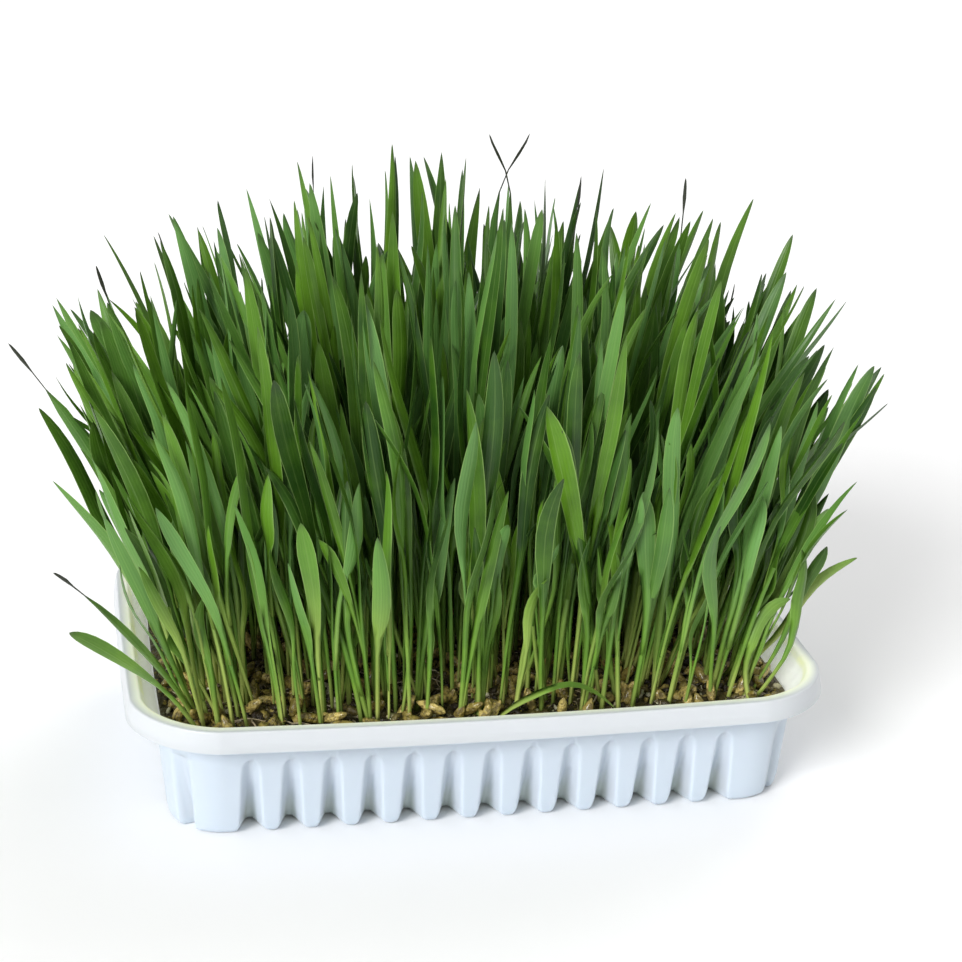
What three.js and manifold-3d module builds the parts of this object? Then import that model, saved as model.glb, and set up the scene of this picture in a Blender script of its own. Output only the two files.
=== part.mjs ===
// A tray of young wheatgrass: a thin ribbed plastic tray, a bed of dark soil that fills it, and the grass,
// which stands in clumps. Each clump is one body: a plug of roots, a few sprouted grains and its blades.
// Millimetres, +Z up. The origin is the middle of the tray's underside, and the long sides run along X.

import * as THREE from "three";
import { mergeVertices } from "three/addons/utils/BufferGeometryUtils.js";
import Module from "manifold-3d";

const wasm = await Module();
wasm.setup();

// ---- Driving dimensions ----

const tray = {
  length: 187, // over the rim
  depth: 132, // over the rim, at the ends of its long sides
  height: 34.6,
  wall: 0.9,
  rimCorner: 22, // plan radius of the rim's corners
  cornerShrink: 0.8, // loss of corner radius for each millimetre of inset
  longBow: 3.2, // how far the filled tray's long sides bulge at the rim
  shortBow: 1,
  bowAtBase: 0.25, // share of the bulge that is left at the base
  skirtBottom: 28.8, // the rim's turned-down edge ends here
  skirtTaper: 0.9,
  rimRound: 0.5,
  flangeInner: 4.2, // inset of the rim's inner edge
  shoulder: 27, // the upright wall ends here, below the rim
  shoulderInset: 7.8,
  baseInset: 10.2,
  footRound: 2.6,
  footSteps: [[1, 0], [0.25, 0.4], [0, 1.2]], // inset and rise of the foot's edge, as shares of its round
  flangeRoot: 0.7, // the rim's underside meets the wall this many walls outside the rim's inner edge
};
const flute = {
  pitch: 10.47, // along the long sides and the short ones alike
  longCount: 13,
  shortCount: 7,
  top: 22.6, // the flutes run out here
  depth: 7, // at the base
  floorHalf: 1.2,
  flank: 0.2, // how much wider a flute gets on each side for each millimetre out from its floor
  cornerDepth: 4,
  cornerFloorHalf: 2.6,
  cornerSink: 0.6, // how much deeper a corner's flute is all the way up
};
const overrun = 2; // a cutter runs this far past what it cuts
const outlineSteps = { corner: 4, long: 4, short: 2 };

const soil = {
  top: 27, // mean level
  relief: 1.1,
  columns: 12,
  rows: 8,
  gap: 0.8, // clear of the tray
  ripple: 0.4, // share of the relief that each wave makes
};
const crest = soil.top + 2 * soil.relief; // a level above all of the soil's relief
const clumps = { columns: 7, rows: 4, halfX: 82, halfY: 55.5 }; // the bed that the clumps share
const plug = {
  sides: 4,
  cover: 0.44, // half the plug's width as a share of its cell
  bottom: 21,
  top: 27.1,
  crown: 1.2, // how far its middle stands higher
  uneven: 0.07, // how far a corner may stand in or out, as a share
  cornerRise: 5.6, // how much higher a corner is for each share that it stands out
  gap: 0.35, // clear of the soil round it
  drawnIn: 2, // the outer sides of the four plugs in the tray's round corners stand twice this far in
};
const grain = {
  perClump: 2,
  length: 8.2,
  width: 3.4,
  height: 3,
  lift: 0.5, // of its middle above the plug's edge
  tilt: 0.25,
  offset: 0.45, // from the plug's middle, as a share of half its width
};

const blade = {
  rowsPerClump: [4, 3, 4, 3], // plants in each row of a clump
  rootSpread: 1.42, // extent of the rows of roots, in half widths of the plug
  jitter: 0.7,
  rootDepth: 2.6, // how deep a stem runs into its plug
  stemWidth: 1.9,
  stemKeel: 1.5,
  keel: 1.05, // thickness of a blade at its midrib
  keelFade: 2, // the stem's keel has thinned to the blade's at half the full width
  widest: [4.6, 7.2],
  clearance: 0.25,
  tries: 14,
};
// Where a blade's sections stand along it, and how wide each is, from stem to full width. The tip is a
// point.
const sections = [
  { at: 0, wide: 0 },
  { at: 0.4, wide: 0.3 },
  { at: 0.7, wide: 1 },
];
const field = {
  middleReach: 139, // length of the tallest plants, in the middle of the bed
  endLoss: 0.28, // how much shorter they are at the bed's ends
  frontLoss: 0.3, // and along its long sides
  shortest: 0.6, // random length, as a share of the full one
  lengthSkew: 1.4, // over 1, most plants come near the full length
  spreadX: 0.4, // how far a tip leans out, as a share of its root's distance from the middle
  spreadY: 0.38,
  mostLean: 38,
  wander: 9, // random lean of a tip
  leastLean: 0.15, // share of the lean that even the shortest plants have
  bendHeight: 0.55,
  bendShare: 0.3, // the share of the lean that the middle of the blade has taken
  twist: 0.9, // radians, from root to tip
};

// Plants of settled form, which stand out from the rest: the root in the bed's plan, the point that the
// blade bends towards, and its tip.
const settled = [
  { root: [-76, 4], bend: [-90, 2, 75], tip: [-121, 0, 118], width: 4.5 },
  { root: [-76, -18], bend: [-92, -22, 72], tip: [-114, -30, 109], width: 6.5 },
  { root: [-75, -36], bend: [-90, -42, 70], tip: [-111, -45, 95], width: 6 },
  { root: [-75, -42], bend: [-84, -56, 52], tip: [-111, -72, 82], width: 3.4 },
  { root: [-75, -48], bend: [-83, -56, 53], tip: [-107, -74, 66], width: 6.5 },
  { root: [-71, 10], bend: [-84, 9, 90], tip: [-96, 10, 136], width: 4 },
  { root: [-63, 18], bend: [-68, 20, 95], tip: [-80, 20, 140], width: 6 },
  { root: [-31, 8], bend: [-39, 9, 100], tip: [-45, 10, 153], width: 6 },
  { root: [-30, 20], bend: [-34, 20, 110], tip: [-37, 20, 163], width: 4 },
  { root: [-16, 12], bend: [-15, 11, 105], tip: [-20, 10, 168], width: 7 },
  { root: [6, 18], bend: [17, 19, 115], tip: [10, 20, 169], width: 4.4 },
  { root: [16, 24], bend: [12, 24, 115], tip: [21, 25, 168], width: 4.4 },
  { root: [28, 21], bend: [31, 21, 105], tip: [35, 20, 157], width: 4.2 },
  { root: [55, 20], bend: [63, 20, 105], tip: [66, 20, 156], width: 4.2 },
  { root: [62, 8], bend: [71, 9, 112], tip: [83, 10, 152], width: 7 },
  { root: [68, 16], bend: [80, 14, 100], tip: [96, 10, 141], width: 5.6 },
  { root: [75, 18], bend: [92, 14, 88], tip: [110, 8, 124], width: 6 },
  { root: [72, 4], bend: [86, 2, 88], tip: [101, 0, 128], width: 6.4 },
  { root: [77, 10], bend: [102, 5, 74], tip: [122, 0, 105], width: 7 },
  { root: [74.5, -10], bend: [93, -15, 75], tip: [105, -20, 106], width: 6.8 },
  { root: [73, -33], bend: [86, -38, 46], tip: [100, -47, 67], width: 5.6 },
  { root: [74, -43], bend: [86, -48, 52], tip: [90, -50, 72], width: 5.6 },
  { root: [74, -46], bend: [91, -53, 52], tip: [81, -53, 72], width: 6.6 },
  { root: [1, -50], bend: [15, -61, 53], tip: [32, -63, 38], width: 3.4 },
  { root: [-5, -47], bend: [-8, -58, 75], tip: [-12, -70, 117], width: 8.4 },
  { root: [32, -46], bend: [22, -56, 78], tip: [8, -68, 118], width: 8.6 },
  { root: [15, -50], bend: [9, -60, 72], tip: [12, -73, 101], width: 7.6 },
  { root: [26, -50], bend: [27, -60, 60], tip: [32, -72, 87], width: 6 },
  { root: [39.5, -49], bend: [42, -58, 70], tip: [40, -70, 96], width: 7 },
  { root: [47, -44], bend: [46, -54, 80], tip: [42, -68, 117], width: 6.6 },
  { root: [62, -48], bend: [57, -58, 60], tip: [55, -70, 85], width: 6.4 },
  { root: [-29, -49], bend: [-31, -58, 60], tip: [-32, -68, 85], width: 6.2 },
];
// How a settled plant's broad side turns off the front, and twists, from one plant to the next.
const settledTurn = { face: 0.5, facePace: 2.4, twist: 0.6, twistPace: 1.7 };

const colours = {
  tray: 0xeef2f6,
  soil: 0x2b2118,
  grain: new THREE.Color(0x6b5230),
  stem: new THREE.Color(0x9dbb5e),
  leaf: new THREE.Color(0x3f7d2c),
};
const stemTop = 68; // the blades' green is full from this level up

// ---- Solids ----

// Repeatable random numbers from 0 to 1, one stream for each seed, by the mulberry32 formula.
function stream(seed) {
  let state = seed;
  return () => {
    state = (state + 0x6d2b79f5) | 0;
    let mixed = Math.imul(state ^ (state >>> 15), 1 | state);
    mixed = (mixed + Math.imul(mixed ^ (mixed >>> 7), 61 | mixed)) ^ mixed;
    return ((mixed ^ (mixed >>> 14)) >>> 0) / 4294967296;
  };
}

const between = (random, low, high) => low + (high - low) * random();

// Triangles between two rings of a loft. Each four-sided patch is split so that it bulges outwards, which
// keeps a twisted blade's faces from crossing. A ring of one point closes the loft in a tip.
function bandFaces(lower, upper) {
  if (upper.length === 1) {
    return lower.map((point, i) => [point, lower[(i + 1) % lower.length], upper[0]]);
  }
  const centre = new THREE.Vector3();
  [...lower, ...upper].forEach((point) => centre.addScaledVector(point, 1 / (2 * lower.length)));
  return lower.flatMap((a, i) => {
    const next = (i + 1) % lower.length;
    const [b, c, d] = [lower[next], upper[next], upper[i]];
    const middleAC = a.clone().add(c).multiplyScalar(0.5);
    const middleBD = b.clone().add(d).multiplyScalar(0.5);
    return middleAC.distanceTo(centre) > middleBD.distanceTo(centre)
      ? [[a, b, c], [a, c, d]]
      : [[a, b, d], [b, c, d]];
  });
}

const fan = (ring) => ring.slice(2).map((point, i) => [ring[0], ring[i + 1], point]);

// A closed loft through rings that run counter-clockwise seen from the far end.
function loftFaces(rings) {
  const last = rings[rings.length - 1];
  return [
    ...fan([...rings[0]].reverse()),
    ...rings.slice(1).flatMap((ring, i) => bandFaces(rings[i], ring)),
    ...(last.length > 1 ? fan(last) : []),
  ];
}

const geometryOf = (faces) => new THREE.BufferGeometry().setFromPoints(faces.flat());

function solidOf(geometry) {
  const bare = new THREE.BufferGeometry();
  bare.setAttribute("position", geometry.getAttribute("position"));
  bare.setIndex(geometry.index);
  const merged = mergeVertices(bare);
  return new wasm.Manifold(new wasm.Mesh({
    numProp: 3,
    vertProperties: merged.getAttribute("position").array,
    triVerts: new Uint32Array(merged.index.array),
  }));
}

const loft = (rings) => solidOf(geometryOf(loftFaces(rings)));
const join = (solids) => solids.reduce((whole, solid) => whole.add(solid));

function meshOf(name, solid, material, colourAt = null) {
  const made = solid.getMesh();
  const geometry = new THREE.BufferGeometry();
  geometry.setAttribute("position", new THREE.BufferAttribute(made.vertProperties, 3));
  geometry.setIndex(new THREE.BufferAttribute(made.triVerts, 1));
  if (colourAt) {
    const heights = made.vertProperties.filter((_, i) => i % 3 === 2);
    const shades = Array.from(heights).flatMap((z) => colourAt(z).toArray());
    geometry.setAttribute("color", new THREE.Float32BufferAttribute(shades, 3));
  }
  geometry.computeVertexNormals();
  const mesh = new THREE.Mesh(geometry, material);
  mesh.name = name;
  return mesh;
}

// ---- Tray ----

const wallInset = (z) => THREE.MathUtils.mapLinear(z, 0, tray.shoulder, tray.baseInset, tray.shoulderInset);
const cornerRadius = (inset) => tray.rimCorner - inset * tray.cornerShrink;

// A rounded rectangle at one level, inset from the rim's outer line, with its sides bulging a little.
function outline(inset, z) {
  const corner = cornerRadius(inset);
  const straightX = tray.length / 2 - inset - corner;
  const straightY = tray.depth / 2 - inset - corner;
  const points = [];
  for (let quarter = 0; quarter < 4; quarter += 1) {
    const isLong = quarter % 2 === 0;
    const signX = quarter === 0 || quarter === 3 ? 1 : -1;
    const signY = quarter < 2 ? 1 : -1;
    for (let step = 0; step <= outlineSteps.corner; step += 1) {
      const angle = (quarter + step / outlineSteps.corner) * Math.PI / 2;
      points.push(new THREE.Vector3(
        signX * straightX + corner * Math.cos(angle),
        signY * straightY + corner * Math.sin(angle),
        z,
      ));
    }
    const end = points[points.length - 1];
    const run = isLong
      ? new THREE.Vector3(-signX * 2 * straightX, 0, 0)
      : new THREE.Vector3(0, -signY * 2 * straightY, 0);
    const steps = isLong ? outlineSteps.long : outlineSteps.short;
    for (let step = 1; step < steps; step += 1) {
      points.push(end.clone().addScaledVector(run, step / steps));
    }
  }
  return points.map((point) => bowed(point, inset));
}

// A point of a straight-sided outline, moved out by the bulge that the filled tray has there.
function bowed(point, inset) {
  const bulge = THREE.MathUtils.mapLinear(point.z, 0, tray.height, tray.bowAtBase, 1);
  const acrossX = point.x / (tray.length / 2 - inset);
  const acrossY = point.y / (tray.depth / 2 - inset);
  return new THREE.Vector3(
    point.x + Math.sign(point.x) * tray.shortBow * bulge * (1 - acrossY ** 2),
    point.y + Math.sign(point.y) * tray.longBow * bulge * (1 - acrossX ** 2),
    point.z,
  );
}

// The point of the wall's face at a level, on the side that a direction faces, so far along that side.
function wallPoint(outward, along, z) {
  const halfX = tray.length / 2 - wallInset(z);
  const halfY = tray.depth / 2 - wallInset(z);
  const x = outward.x * halfX - outward.y * along;
  const y = outward.y * halfY + outward.x * along;
  return bowed(new THREE.Vector3(x, y, z), wallInset(z));
}

// The point in the middle of a corner's wall at a level.
function cornerPoint(signX, signY, z) {
  const corner = cornerRadius(wallInset(z));
  const reach = corner * Math.SQRT1_2;
  return new THREE.Vector3(
    signX * (tray.length / 2 - wallInset(z) - corner + reach),
    signY * (tray.depth / 2 - wallInset(z) - corner + reach),
    z,
  );
}

// The cutter for one flute: a tapered trough that is deepest at the base and runs out in the wall's face.
// Grown by the wall's thickness, it leaves the wall that stands round the flute on the tray's inside.
function fluteCutter(place, outward, { floorHalf, depth, sink }, grow) {
  const along = new THREE.Vector3(-outward.y, outward.x, 0);
  const rings = [-overrun, flute.top + overrun].map((z) => {
    const sunk = depth * (1 - z / flute.top) + sink + grow;
    const floor = floorHalf + grow * (Math.hypot(1, flute.flank) - flute.flank);
    const open = floor + flute.flank * (sunk + overrun);
    const corners = [[open, overrun], [floor, -sunk], [-floor, -sunk], [-open, overrun]];
    return corners.map(([sideways, out]) => place(z)
      .addScaledVector(along, sideways)
      .addScaledVector(outward, out));
  });
  return loft(rings);
}

function fluteCutters(grow) {
  const side = { floorHalf: flute.floorHalf, depth: flute.depth, sink: 0 };
  const corner = { floorHalf: flute.cornerFloorHalf, depth: flute.cornerDepth, sink: flute.cornerSink };
  const cutters = [];
  for (const sign of [-1, 1]) {
    for (const [x, y, count] of [[0, sign, flute.longCount], [sign, 0, flute.shortCount]]) {
      const outward = new THREE.Vector3(x, y, 0);
      for (let i = 0; i < count; i += 1) {
        const along = (i - (count - 1) / 2) * flute.pitch;
        cutters.push(fluteCutter((z) => wallPoint(outward, along, z), outward, side, grow));
      }
    }
    for (const signY of [-1, 1]) {
      const outward = new THREE.Vector3(sign, signY, 0).normalize();
      cutters.push(fluteCutter((z) => cornerPoint(sign, signY, z), outward, corner, grow));
    }
  }
  return cutters;
}

function makeTray() {
  const { height, wall, baseInset, footRound, footSteps, shoulder, shoulderInset, flangeInner } = tray;
  const { flangeRoot, skirtBottom, skirtTaper, rimRound } = tray;
  const outside = loft([
    ...footSteps.map(([inset, rise]) => outline(baseInset + footRound * inset, footRound * rise)),
    outline(shoulderInset, shoulder),
    outline(flangeInner - wall * flangeRoot, height - wall),
    outline(skirtTaper + wall, height - wall),
    outline(wall, skirtBottom),
    outline(0, skirtBottom),
    outline(skirtTaper, height - rimRound),
    outline(skirtTaper + rimRound, height),
  ]);
  const inside = loft([
    outline(baseInset + footRound + wall, wall),
    outline(baseInset + wall, wall + footRound),
    outline(shoulderInset + wall, shoulder),
    outline(flangeInner, height),
    outline(flangeInner, height + overrun),
  ]);
  const hollow = inside.subtract(join(fluteCutters(wall)));
  return outside.subtract(join(fluteCutters(0))).subtract(hollow);
}

// ---- Soil ----

// The level of the soil's lumpy top: three crossed waves.
function soilLevel(x, y) {
  const coarse = Math.sin(x * 0.21 + y * 0.13) + Math.sin(y * 0.33 - x * 0.17 + 2);
  return soil.top + soil.relief * soil.ripple * (coarse + Math.sin(x * 0.61 + 1) * Math.sin(y * 0.53));
}

// The inset of the soil's side at a level, clear of the flutes, which stand deepest into the tray at its
// base.
function soilInset(z) {
  const sunk = Math.max(flute.depth * (1 - z / flute.top), 0);
  return wallInset(z) + sunk + tray.wall + soil.gap;
}

// Everything above the soil's relief, as one block with the relief for its underside.
function skyAbove() {
  const block = new THREE.BoxGeometry(tray.length, tray.depth, 1, soil.columns, soil.rows, 1);
  const position = block.getAttribute("position");
  for (let i = 0; i < position.count; i += 1) {
    const isTop = position.getZ(i) > 0;
    position.setZ(i, isTop ? crest + overrun : soilLevel(position.getX(i), position.getY(i)));
  }
  return solidOf(block);
}

function makeSoil(pockets) {
  const levels = [tray.wall + soil.gap, flute.top, crest];
  return loft(levels.map((z) => outline(soilInset(z), z))).subtract(skyAbove()).subtract(join(pockets));
}

// ---- Clumps ----

// The plan of a clump's plug: an uneven polygon, grown by a margin.
function plugPlan(clump, margin) {
  return clump.radii.map((share, i) => {
    const angle = (i + 0.5) / plug.sides * 2 * Math.PI;
    return new THREE.Vector3(
      clump.x + Math.SQRT2 * Math.cos(angle) * (clump.halfX * share + margin),
      clump.y + Math.SQRT2 * Math.sin(angle) * (clump.halfY * share + margin),
      0,
    );
  });
}

const atLevel = (plan, z) => plan.map((point) => point.clone().setZ(z));

function makePlug(clump) {
  const plan = plugPlan(clump, 0);
  const rim = plan.map((point, i) => point.clone().setZ(plug.top + plug.cornerRise * (clump.radii[i] - 1)));
  const crown = new THREE.Vector3(clump.x, clump.y, plug.top + plug.crown);
  return loft([atLevel(plan, plug.bottom), rim, [crown]]);
}

const makePocket = (clump) => loft([
  atLevel(plugPlan(clump, plug.gap), plug.bottom - plug.gap),
  atLevel(plugPlan(clump, plug.gap), crest + overrun),
]);

function makeGrain(clump, random) {
  const shape = new THREE.OctahedronGeometry(0.5);
  shape.scale(grain.length, grain.width, grain.height);
  shape.rotateY(between(random, -1, 1) * grain.tilt);
  shape.rotateZ(between(random, 0, Math.PI));
  const angle = between(random, 0, 2 * Math.PI);
  shape.translate(
    clump.x + Math.cos(angle) * clump.halfX * grain.offset,
    clump.y + Math.sin(angle) * clump.halfY * grain.offset,
    plug.top + grain.lift,
  );
  return solidOf(shape);
}

// One blade along a curve: a stem that opens into a flat leaf with a keel along its back, grown by a margin.
function bladeRings(plant, margin) {
  const rings = sections.map(({ at, wide }) => {
    const centre = plant.curve.getPoint(at);
    const along = plant.curve.getTangent(at);
    const turned = plant.face + plant.twist * at;
    const side = new THREE.Vector3(Math.cos(turned), Math.sin(turned), 0);
    side.addScaledVector(along, -side.dot(along)).normalize();
    const back = new THREE.Vector3().crossVectors(side, along);
    const half = THREE.MathUtils.lerp(blade.stemWidth, plant.width, wide) / 2 + margin;
    const thinned = Math.min(wide * blade.keelFade, 1);
    const keel = THREE.MathUtils.lerp(blade.stemKeel, blade.keel, thinned) + 2 * margin;
    return [
      centre.clone().addScaledVector(side, half),
      centre.clone().addScaledVector(side, -half),
      centre.clone().addScaledVector(back, keel),
    ];
  });
  return [...rings, [plant.curve.getPoint(1)]];
}

// The faces of a blade as triangles with their boxes, for the test of whether two blades cross.
function boxedFaces(plant, margin) {
  return loftFaces(bladeRings(plant, margin)).map((corners) => ({
    triangle: new THREE.Triangle(...corners),
    box: new THREE.Box3().setFromPoints(corners),
  }));
}

const probe = new THREE.Ray();
const struck = new THREE.Vector3();

function edgePierces(from, to, { a, b, c }) {
  probe.origin.copy(from);
  probe.direction.subVectors(to, from).normalize();
  const hit = probe.intersectTriangle(a, b, c, false, struck);
  return hit !== null && from.distanceTo(struck) <= from.distanceTo(to);
}

function edgesPierce({ a, b, c }, target) {
  return edgePierces(a, b, target) || edgePierces(b, c, target) || edgePierces(c, a, target);
}

function bladesCross(one, other) {
  return one.some((face) => other.some((rival) => face.box.intersectsBox(rival.box)
    && (edgesPierce(face.triangle, rival.triangle) || edgesPierce(rival.triangle, face.triangle))));
}

// A plant's form by rule: it leans out more the further it stands from the bed's middle, and wanders a
// little.
function drawPlant(root, random) {
  const atEnd = (root.x / clumps.halfX) ** 2;
  const atFront = (root.y / clumps.halfY) ** 4;
  const full = field.middleReach * (1 - field.endLoss * atEnd - field.frontLoss * atFront);
  const length = full * (1 - (1 - field.shortest) * random() ** field.lengthSkew);
  const lean = new THREE.Vector3(
    root.x * field.spreadX + between(random, -1, 1) * field.wander,
    root.y * field.spreadY + between(random, -1, 1) * field.wander,
    0,
  ).multiplyScalar(length / field.middleReach + field.leastLean).clampLength(0, field.mostLean);
  const rise = Math.sqrt(Math.max(length ** 2 - lean.lengthSq(), 0));
  const tip = root.clone().add(lean).setZ(root.z + rise);
  const bend = root.clone().addScaledVector(lean, field.bendShare).setZ(root.z + rise * field.bendHeight);
  return {
    curve: new THREE.QuadraticBezierCurve3(root, bend, tip),
    face: between(random, 0, Math.PI * 2),
    twist: between(random, -1, 1) * field.twist,
    width: between(random, ...blade.widest),
  };
}

// A settled plant: its broad side faces the front, turned a little from one plant to the next.
function settledPlant({ root, bend, tip, width }, index) {
  return {
    curve: new THREE.QuadraticBezierCurve3(
      new THREE.Vector3(...root, plug.top - blade.rootDepth),
      new THREE.Vector3(...bend),
      new THREE.Vector3(...tip),
    ),
    face: Math.sin(index * settledTurn.facePace) * settledTurn.face,
    twist: Math.sin(index * settledTurn.twistPace) * settledTurn.twist,
    width,
  };
}

function makeClumps() {
  const random = stream(7);
  const made = [];
  const cellX = 2 * clumps.halfX / clumps.columns;
  const cellY = 2 * clumps.halfY / clumps.rows;
  for (let row = 0; row < clumps.rows; row += 1) {
    for (let column = 0; column < clumps.columns; column += 1) {
      const x = (column + 0.5) * cellX - clumps.halfX;
      const y = (row + 0.5) * cellY - clumps.halfY;
      const isCorner = row % (clumps.rows - 1) === 0 && column % (clumps.columns - 1) === 0;
      const drawnIn = isCorner ? plug.drawnIn : 0;
      made.push({
        name: `clump_${row + 1}_${column + 1}`,
        x: x - Math.sign(x) * drawnIn,
        y: y - Math.sign(y) * drawnIn,
        halfX: cellX * plug.cover - drawnIn,
        halfY: cellY * plug.cover - drawnIn,
        radii: Array.from({ length: plug.sides }, () => 1 + between(random, -1, 1) * plug.uneven),
        plants: [],
      });
    }
  }
  return made;
}

// The roots of a clump's plants, in staggered rows across its plug.
function rootsOf(clump, random) {
  const most = Math.max(...blade.rowsPerClump) - 1;
  return blade.rowsPerClump.flatMap((count, row) => Array.from({ length: count }, (_, i) => {
    const shareX = (i - (count - 1) / 2) / most * blade.rootSpread;
    const shareY = (row / (blade.rowsPerClump.length - 1) - 0.5) * blade.rootSpread;
    return new THREE.Vector3(
      clump.x + clump.halfX * shareX + between(random, -1, 1) * blade.jitter,
      clump.y + clump.halfY * shareY + between(random, -1, 1) * blade.jitter,
      plug.top - blade.rootDepth,
    );
  }));
}

// How far a settled plant's root stands from a clump's middle, where 1 is the plug's edge.
const farFrom = (clump, { root }) => Math.max(
  Math.abs(root[0] - clump.x) / clump.halfX,
  Math.abs(root[1] - clump.y) / clump.halfY,
);

// The settled plants come first. Each other plant is drawn again until it stands clear of all those before
// it, and is left out if it never does.
function growPlants(clumpList) {
  const random = stream(2024);
  const grown = [];
  const standsClear = (clump, plant) => {
    const swollen = boxedFaces(plant, blade.clearance);
    if (grown.some((faces) => bladesCross(swollen, faces))) return false;
    grown.push(boxedFaces(plant, 0));
    clump.plants.push(plant);
    return true;
  };
  settled.forEach((form, i) => {
    const [home] = [...clumpList].sort((one, other) => farFrom(one, form) - farFrom(other, form));
    standsClear(home, settledPlant(form, i));
  });
  for (const clump of clumpList) {
    for (const root of rootsOf(clump, random)) {
      for (let attempt = 0; attempt < blade.tries; attempt += 1) {
        if (standsClear(clump, drawPlant(root, random))) break;
      }
    }
  }
}

function makeClump(clump, random) {
  const grains = Array.from({ length: grain.perClump }, () => makeGrain(clump, random));
  const blades = clump.plants.map((plant) => loft(bladeRings(plant, 0)));
  return join([makePlug(clump), ...grains, ...blades]);
}

// ---- The whole ----

// A clump is brown at its roots and grains, pale green in its stems and full green in its leaves.
function clumpColour(z) {
  if (z < plug.top + plug.crown + grain.lift) return colours.grain;
  return colours.stem.clone().lerp(colours.leaf, THREE.MathUtils.smoothstep(z, plug.top, stemTop));
}

const group = new THREE.Group();
const clumpList = makeClumps();
growPlants(clumpList);
const trayMaterial = new THREE.MeshStandardMaterial({ color: colours.tray, roughness: 0.45, metalness: 0 });
const soilMaterial = new THREE.MeshStandardMaterial({ color: colours.soil, roughness: 0.9, metalness: 0 });
group.add(meshOf("tray", makeTray(), trayMaterial));
group.add(meshOf("soil", makeSoil(clumpList.map(makePocket)), soilMaterial));
const grainRandom = stream(99);
for (const clump of clumpList) {
  const grassMaterial = new THREE.MeshStandardMaterial({ vertexColors: true, roughness: 0.5, metalness: 0 });
  group.add(meshOf(clump.name, makeClump(clump, grainRandom), grassMaterial, clumpColour));
}
export default group;
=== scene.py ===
import math
import bpy
import numpy as np
from mathutils import Matrix, Vector


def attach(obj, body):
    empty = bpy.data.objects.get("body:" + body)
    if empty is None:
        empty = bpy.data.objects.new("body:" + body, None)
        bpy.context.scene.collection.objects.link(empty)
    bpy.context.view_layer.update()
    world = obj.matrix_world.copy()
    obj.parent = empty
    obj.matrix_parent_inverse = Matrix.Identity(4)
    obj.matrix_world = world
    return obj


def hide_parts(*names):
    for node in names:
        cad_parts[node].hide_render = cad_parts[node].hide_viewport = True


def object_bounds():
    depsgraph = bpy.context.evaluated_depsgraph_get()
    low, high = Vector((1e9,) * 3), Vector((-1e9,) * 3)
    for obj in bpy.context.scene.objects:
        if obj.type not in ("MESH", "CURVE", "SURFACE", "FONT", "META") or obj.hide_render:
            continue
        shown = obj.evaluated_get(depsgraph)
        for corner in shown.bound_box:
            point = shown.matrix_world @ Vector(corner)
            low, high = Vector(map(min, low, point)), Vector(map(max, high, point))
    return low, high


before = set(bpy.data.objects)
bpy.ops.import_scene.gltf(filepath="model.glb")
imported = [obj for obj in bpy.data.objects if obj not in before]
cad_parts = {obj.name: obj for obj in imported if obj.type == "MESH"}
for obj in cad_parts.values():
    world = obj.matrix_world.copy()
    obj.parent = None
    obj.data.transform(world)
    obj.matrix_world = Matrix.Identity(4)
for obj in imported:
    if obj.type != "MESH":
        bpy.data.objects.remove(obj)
cadBounds = [list(corner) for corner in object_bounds()]
mm = 0.001  # lengths below are in millimetres, and a mesh is scaled by this as it is made
quarterTurn = np.pi / 2
fullTurn = 2 * np.pi
print("frame loaded:", len(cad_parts), "nodes")


def smoothStep(value, low, high):
    # 3s² - 2s³ of the share s of the way from low to high: 0 below low and 1 above high
    share = np.clip((value - low) / (high - low), 0, 1)
    return share * share * (3 - 2 * share)


def unit(vectors):
    # each vector divided by its own length
    return vectors / np.maximum(np.linalg.norm(vectors, axis=-1, keepdims=True), 1e-9)


def waves(x, y, seed, count, shortest, longest):
    # a lumpy height of about -1 to 1: the weighted mean of many sine waves of random length, heading and
    # phase, times 3. The longer a wave, the more it weighs
    random = np.random.default_rng(seed)
    length = np.exp(random.uniform(np.log(shortest), np.log(longest), count))
    heading = random.uniform(0, fullTurn, count)
    phase = random.uniform(0, fullTurn, count)
    weight = length ** 0.5
    along = x[..., None] * np.cos(heading) + y[..., None] * np.sin(heading)
    total = (weight * np.sin(fullTurn * along / length + phase)).sum(-1)
    return total / weight.sum() * 3


def gridFaces(rows, columns):
    # quads of a grid of points whose columns close on themselves, facing out where the rows climb and the
    # columns run counter-clockwise seen from above
    row, column = np.meshgrid(np.arange(rows - 1), np.arange(columns), indexing="ij")
    after = (column + 1) % columns
    corners = [row * columns + column, row * columns + after]
    corners += [(row + 1) * columns + after, (row + 1) * columns + column]
    return np.stack(corners, -1).reshape(-1, 4)


def poleFaces(pole, ring, isLast):
    # a fan between one point and the closed ring of points beside it
    after = np.roll(ring, -1)
    middle = np.full(len(ring), pole)
    return np.stack([ring, after, middle] if isLast else [after, ring, middle], -1)


def closedFaces(rows, columns):
    # a grid's quads, and the fans that close its first and last rows with the two points that follow it
    first = np.arange(columns)
    last = first + (rows - 1) * columns
    pole = rows * columns
    fans = [poleFaces(pole, first, False), poleFaces(pole + 1, last, True)]
    return gridFaces(rows, columns), np.concatenate(fans)


def copiedFaces(shapeFaces, count, each):
    # one shape's quads and tris for count copies of it that have so many points each
    starts = (np.arange(count) * each)[:, None, None]
    return [(faces[None] + starts).reshape(-1, faces.shape[1]) for faces in shapeFaces]


def makeStock(points, quads, tris, finish=0, place=None, tone=None, rim=None):
    # points, faces and looks, where a look that isn't given is nought
    blank = np.zeros((len(points), 3))
    return {
        "points": points,
        "quads": quads,
        "tris": tris,
        "place": blank if place is None else place,
        "tone": blank if tone is None else tone,
        "rim": np.zeros(len(points), bool) if rim is None else rim,
        "finish": finish,
    }


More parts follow.
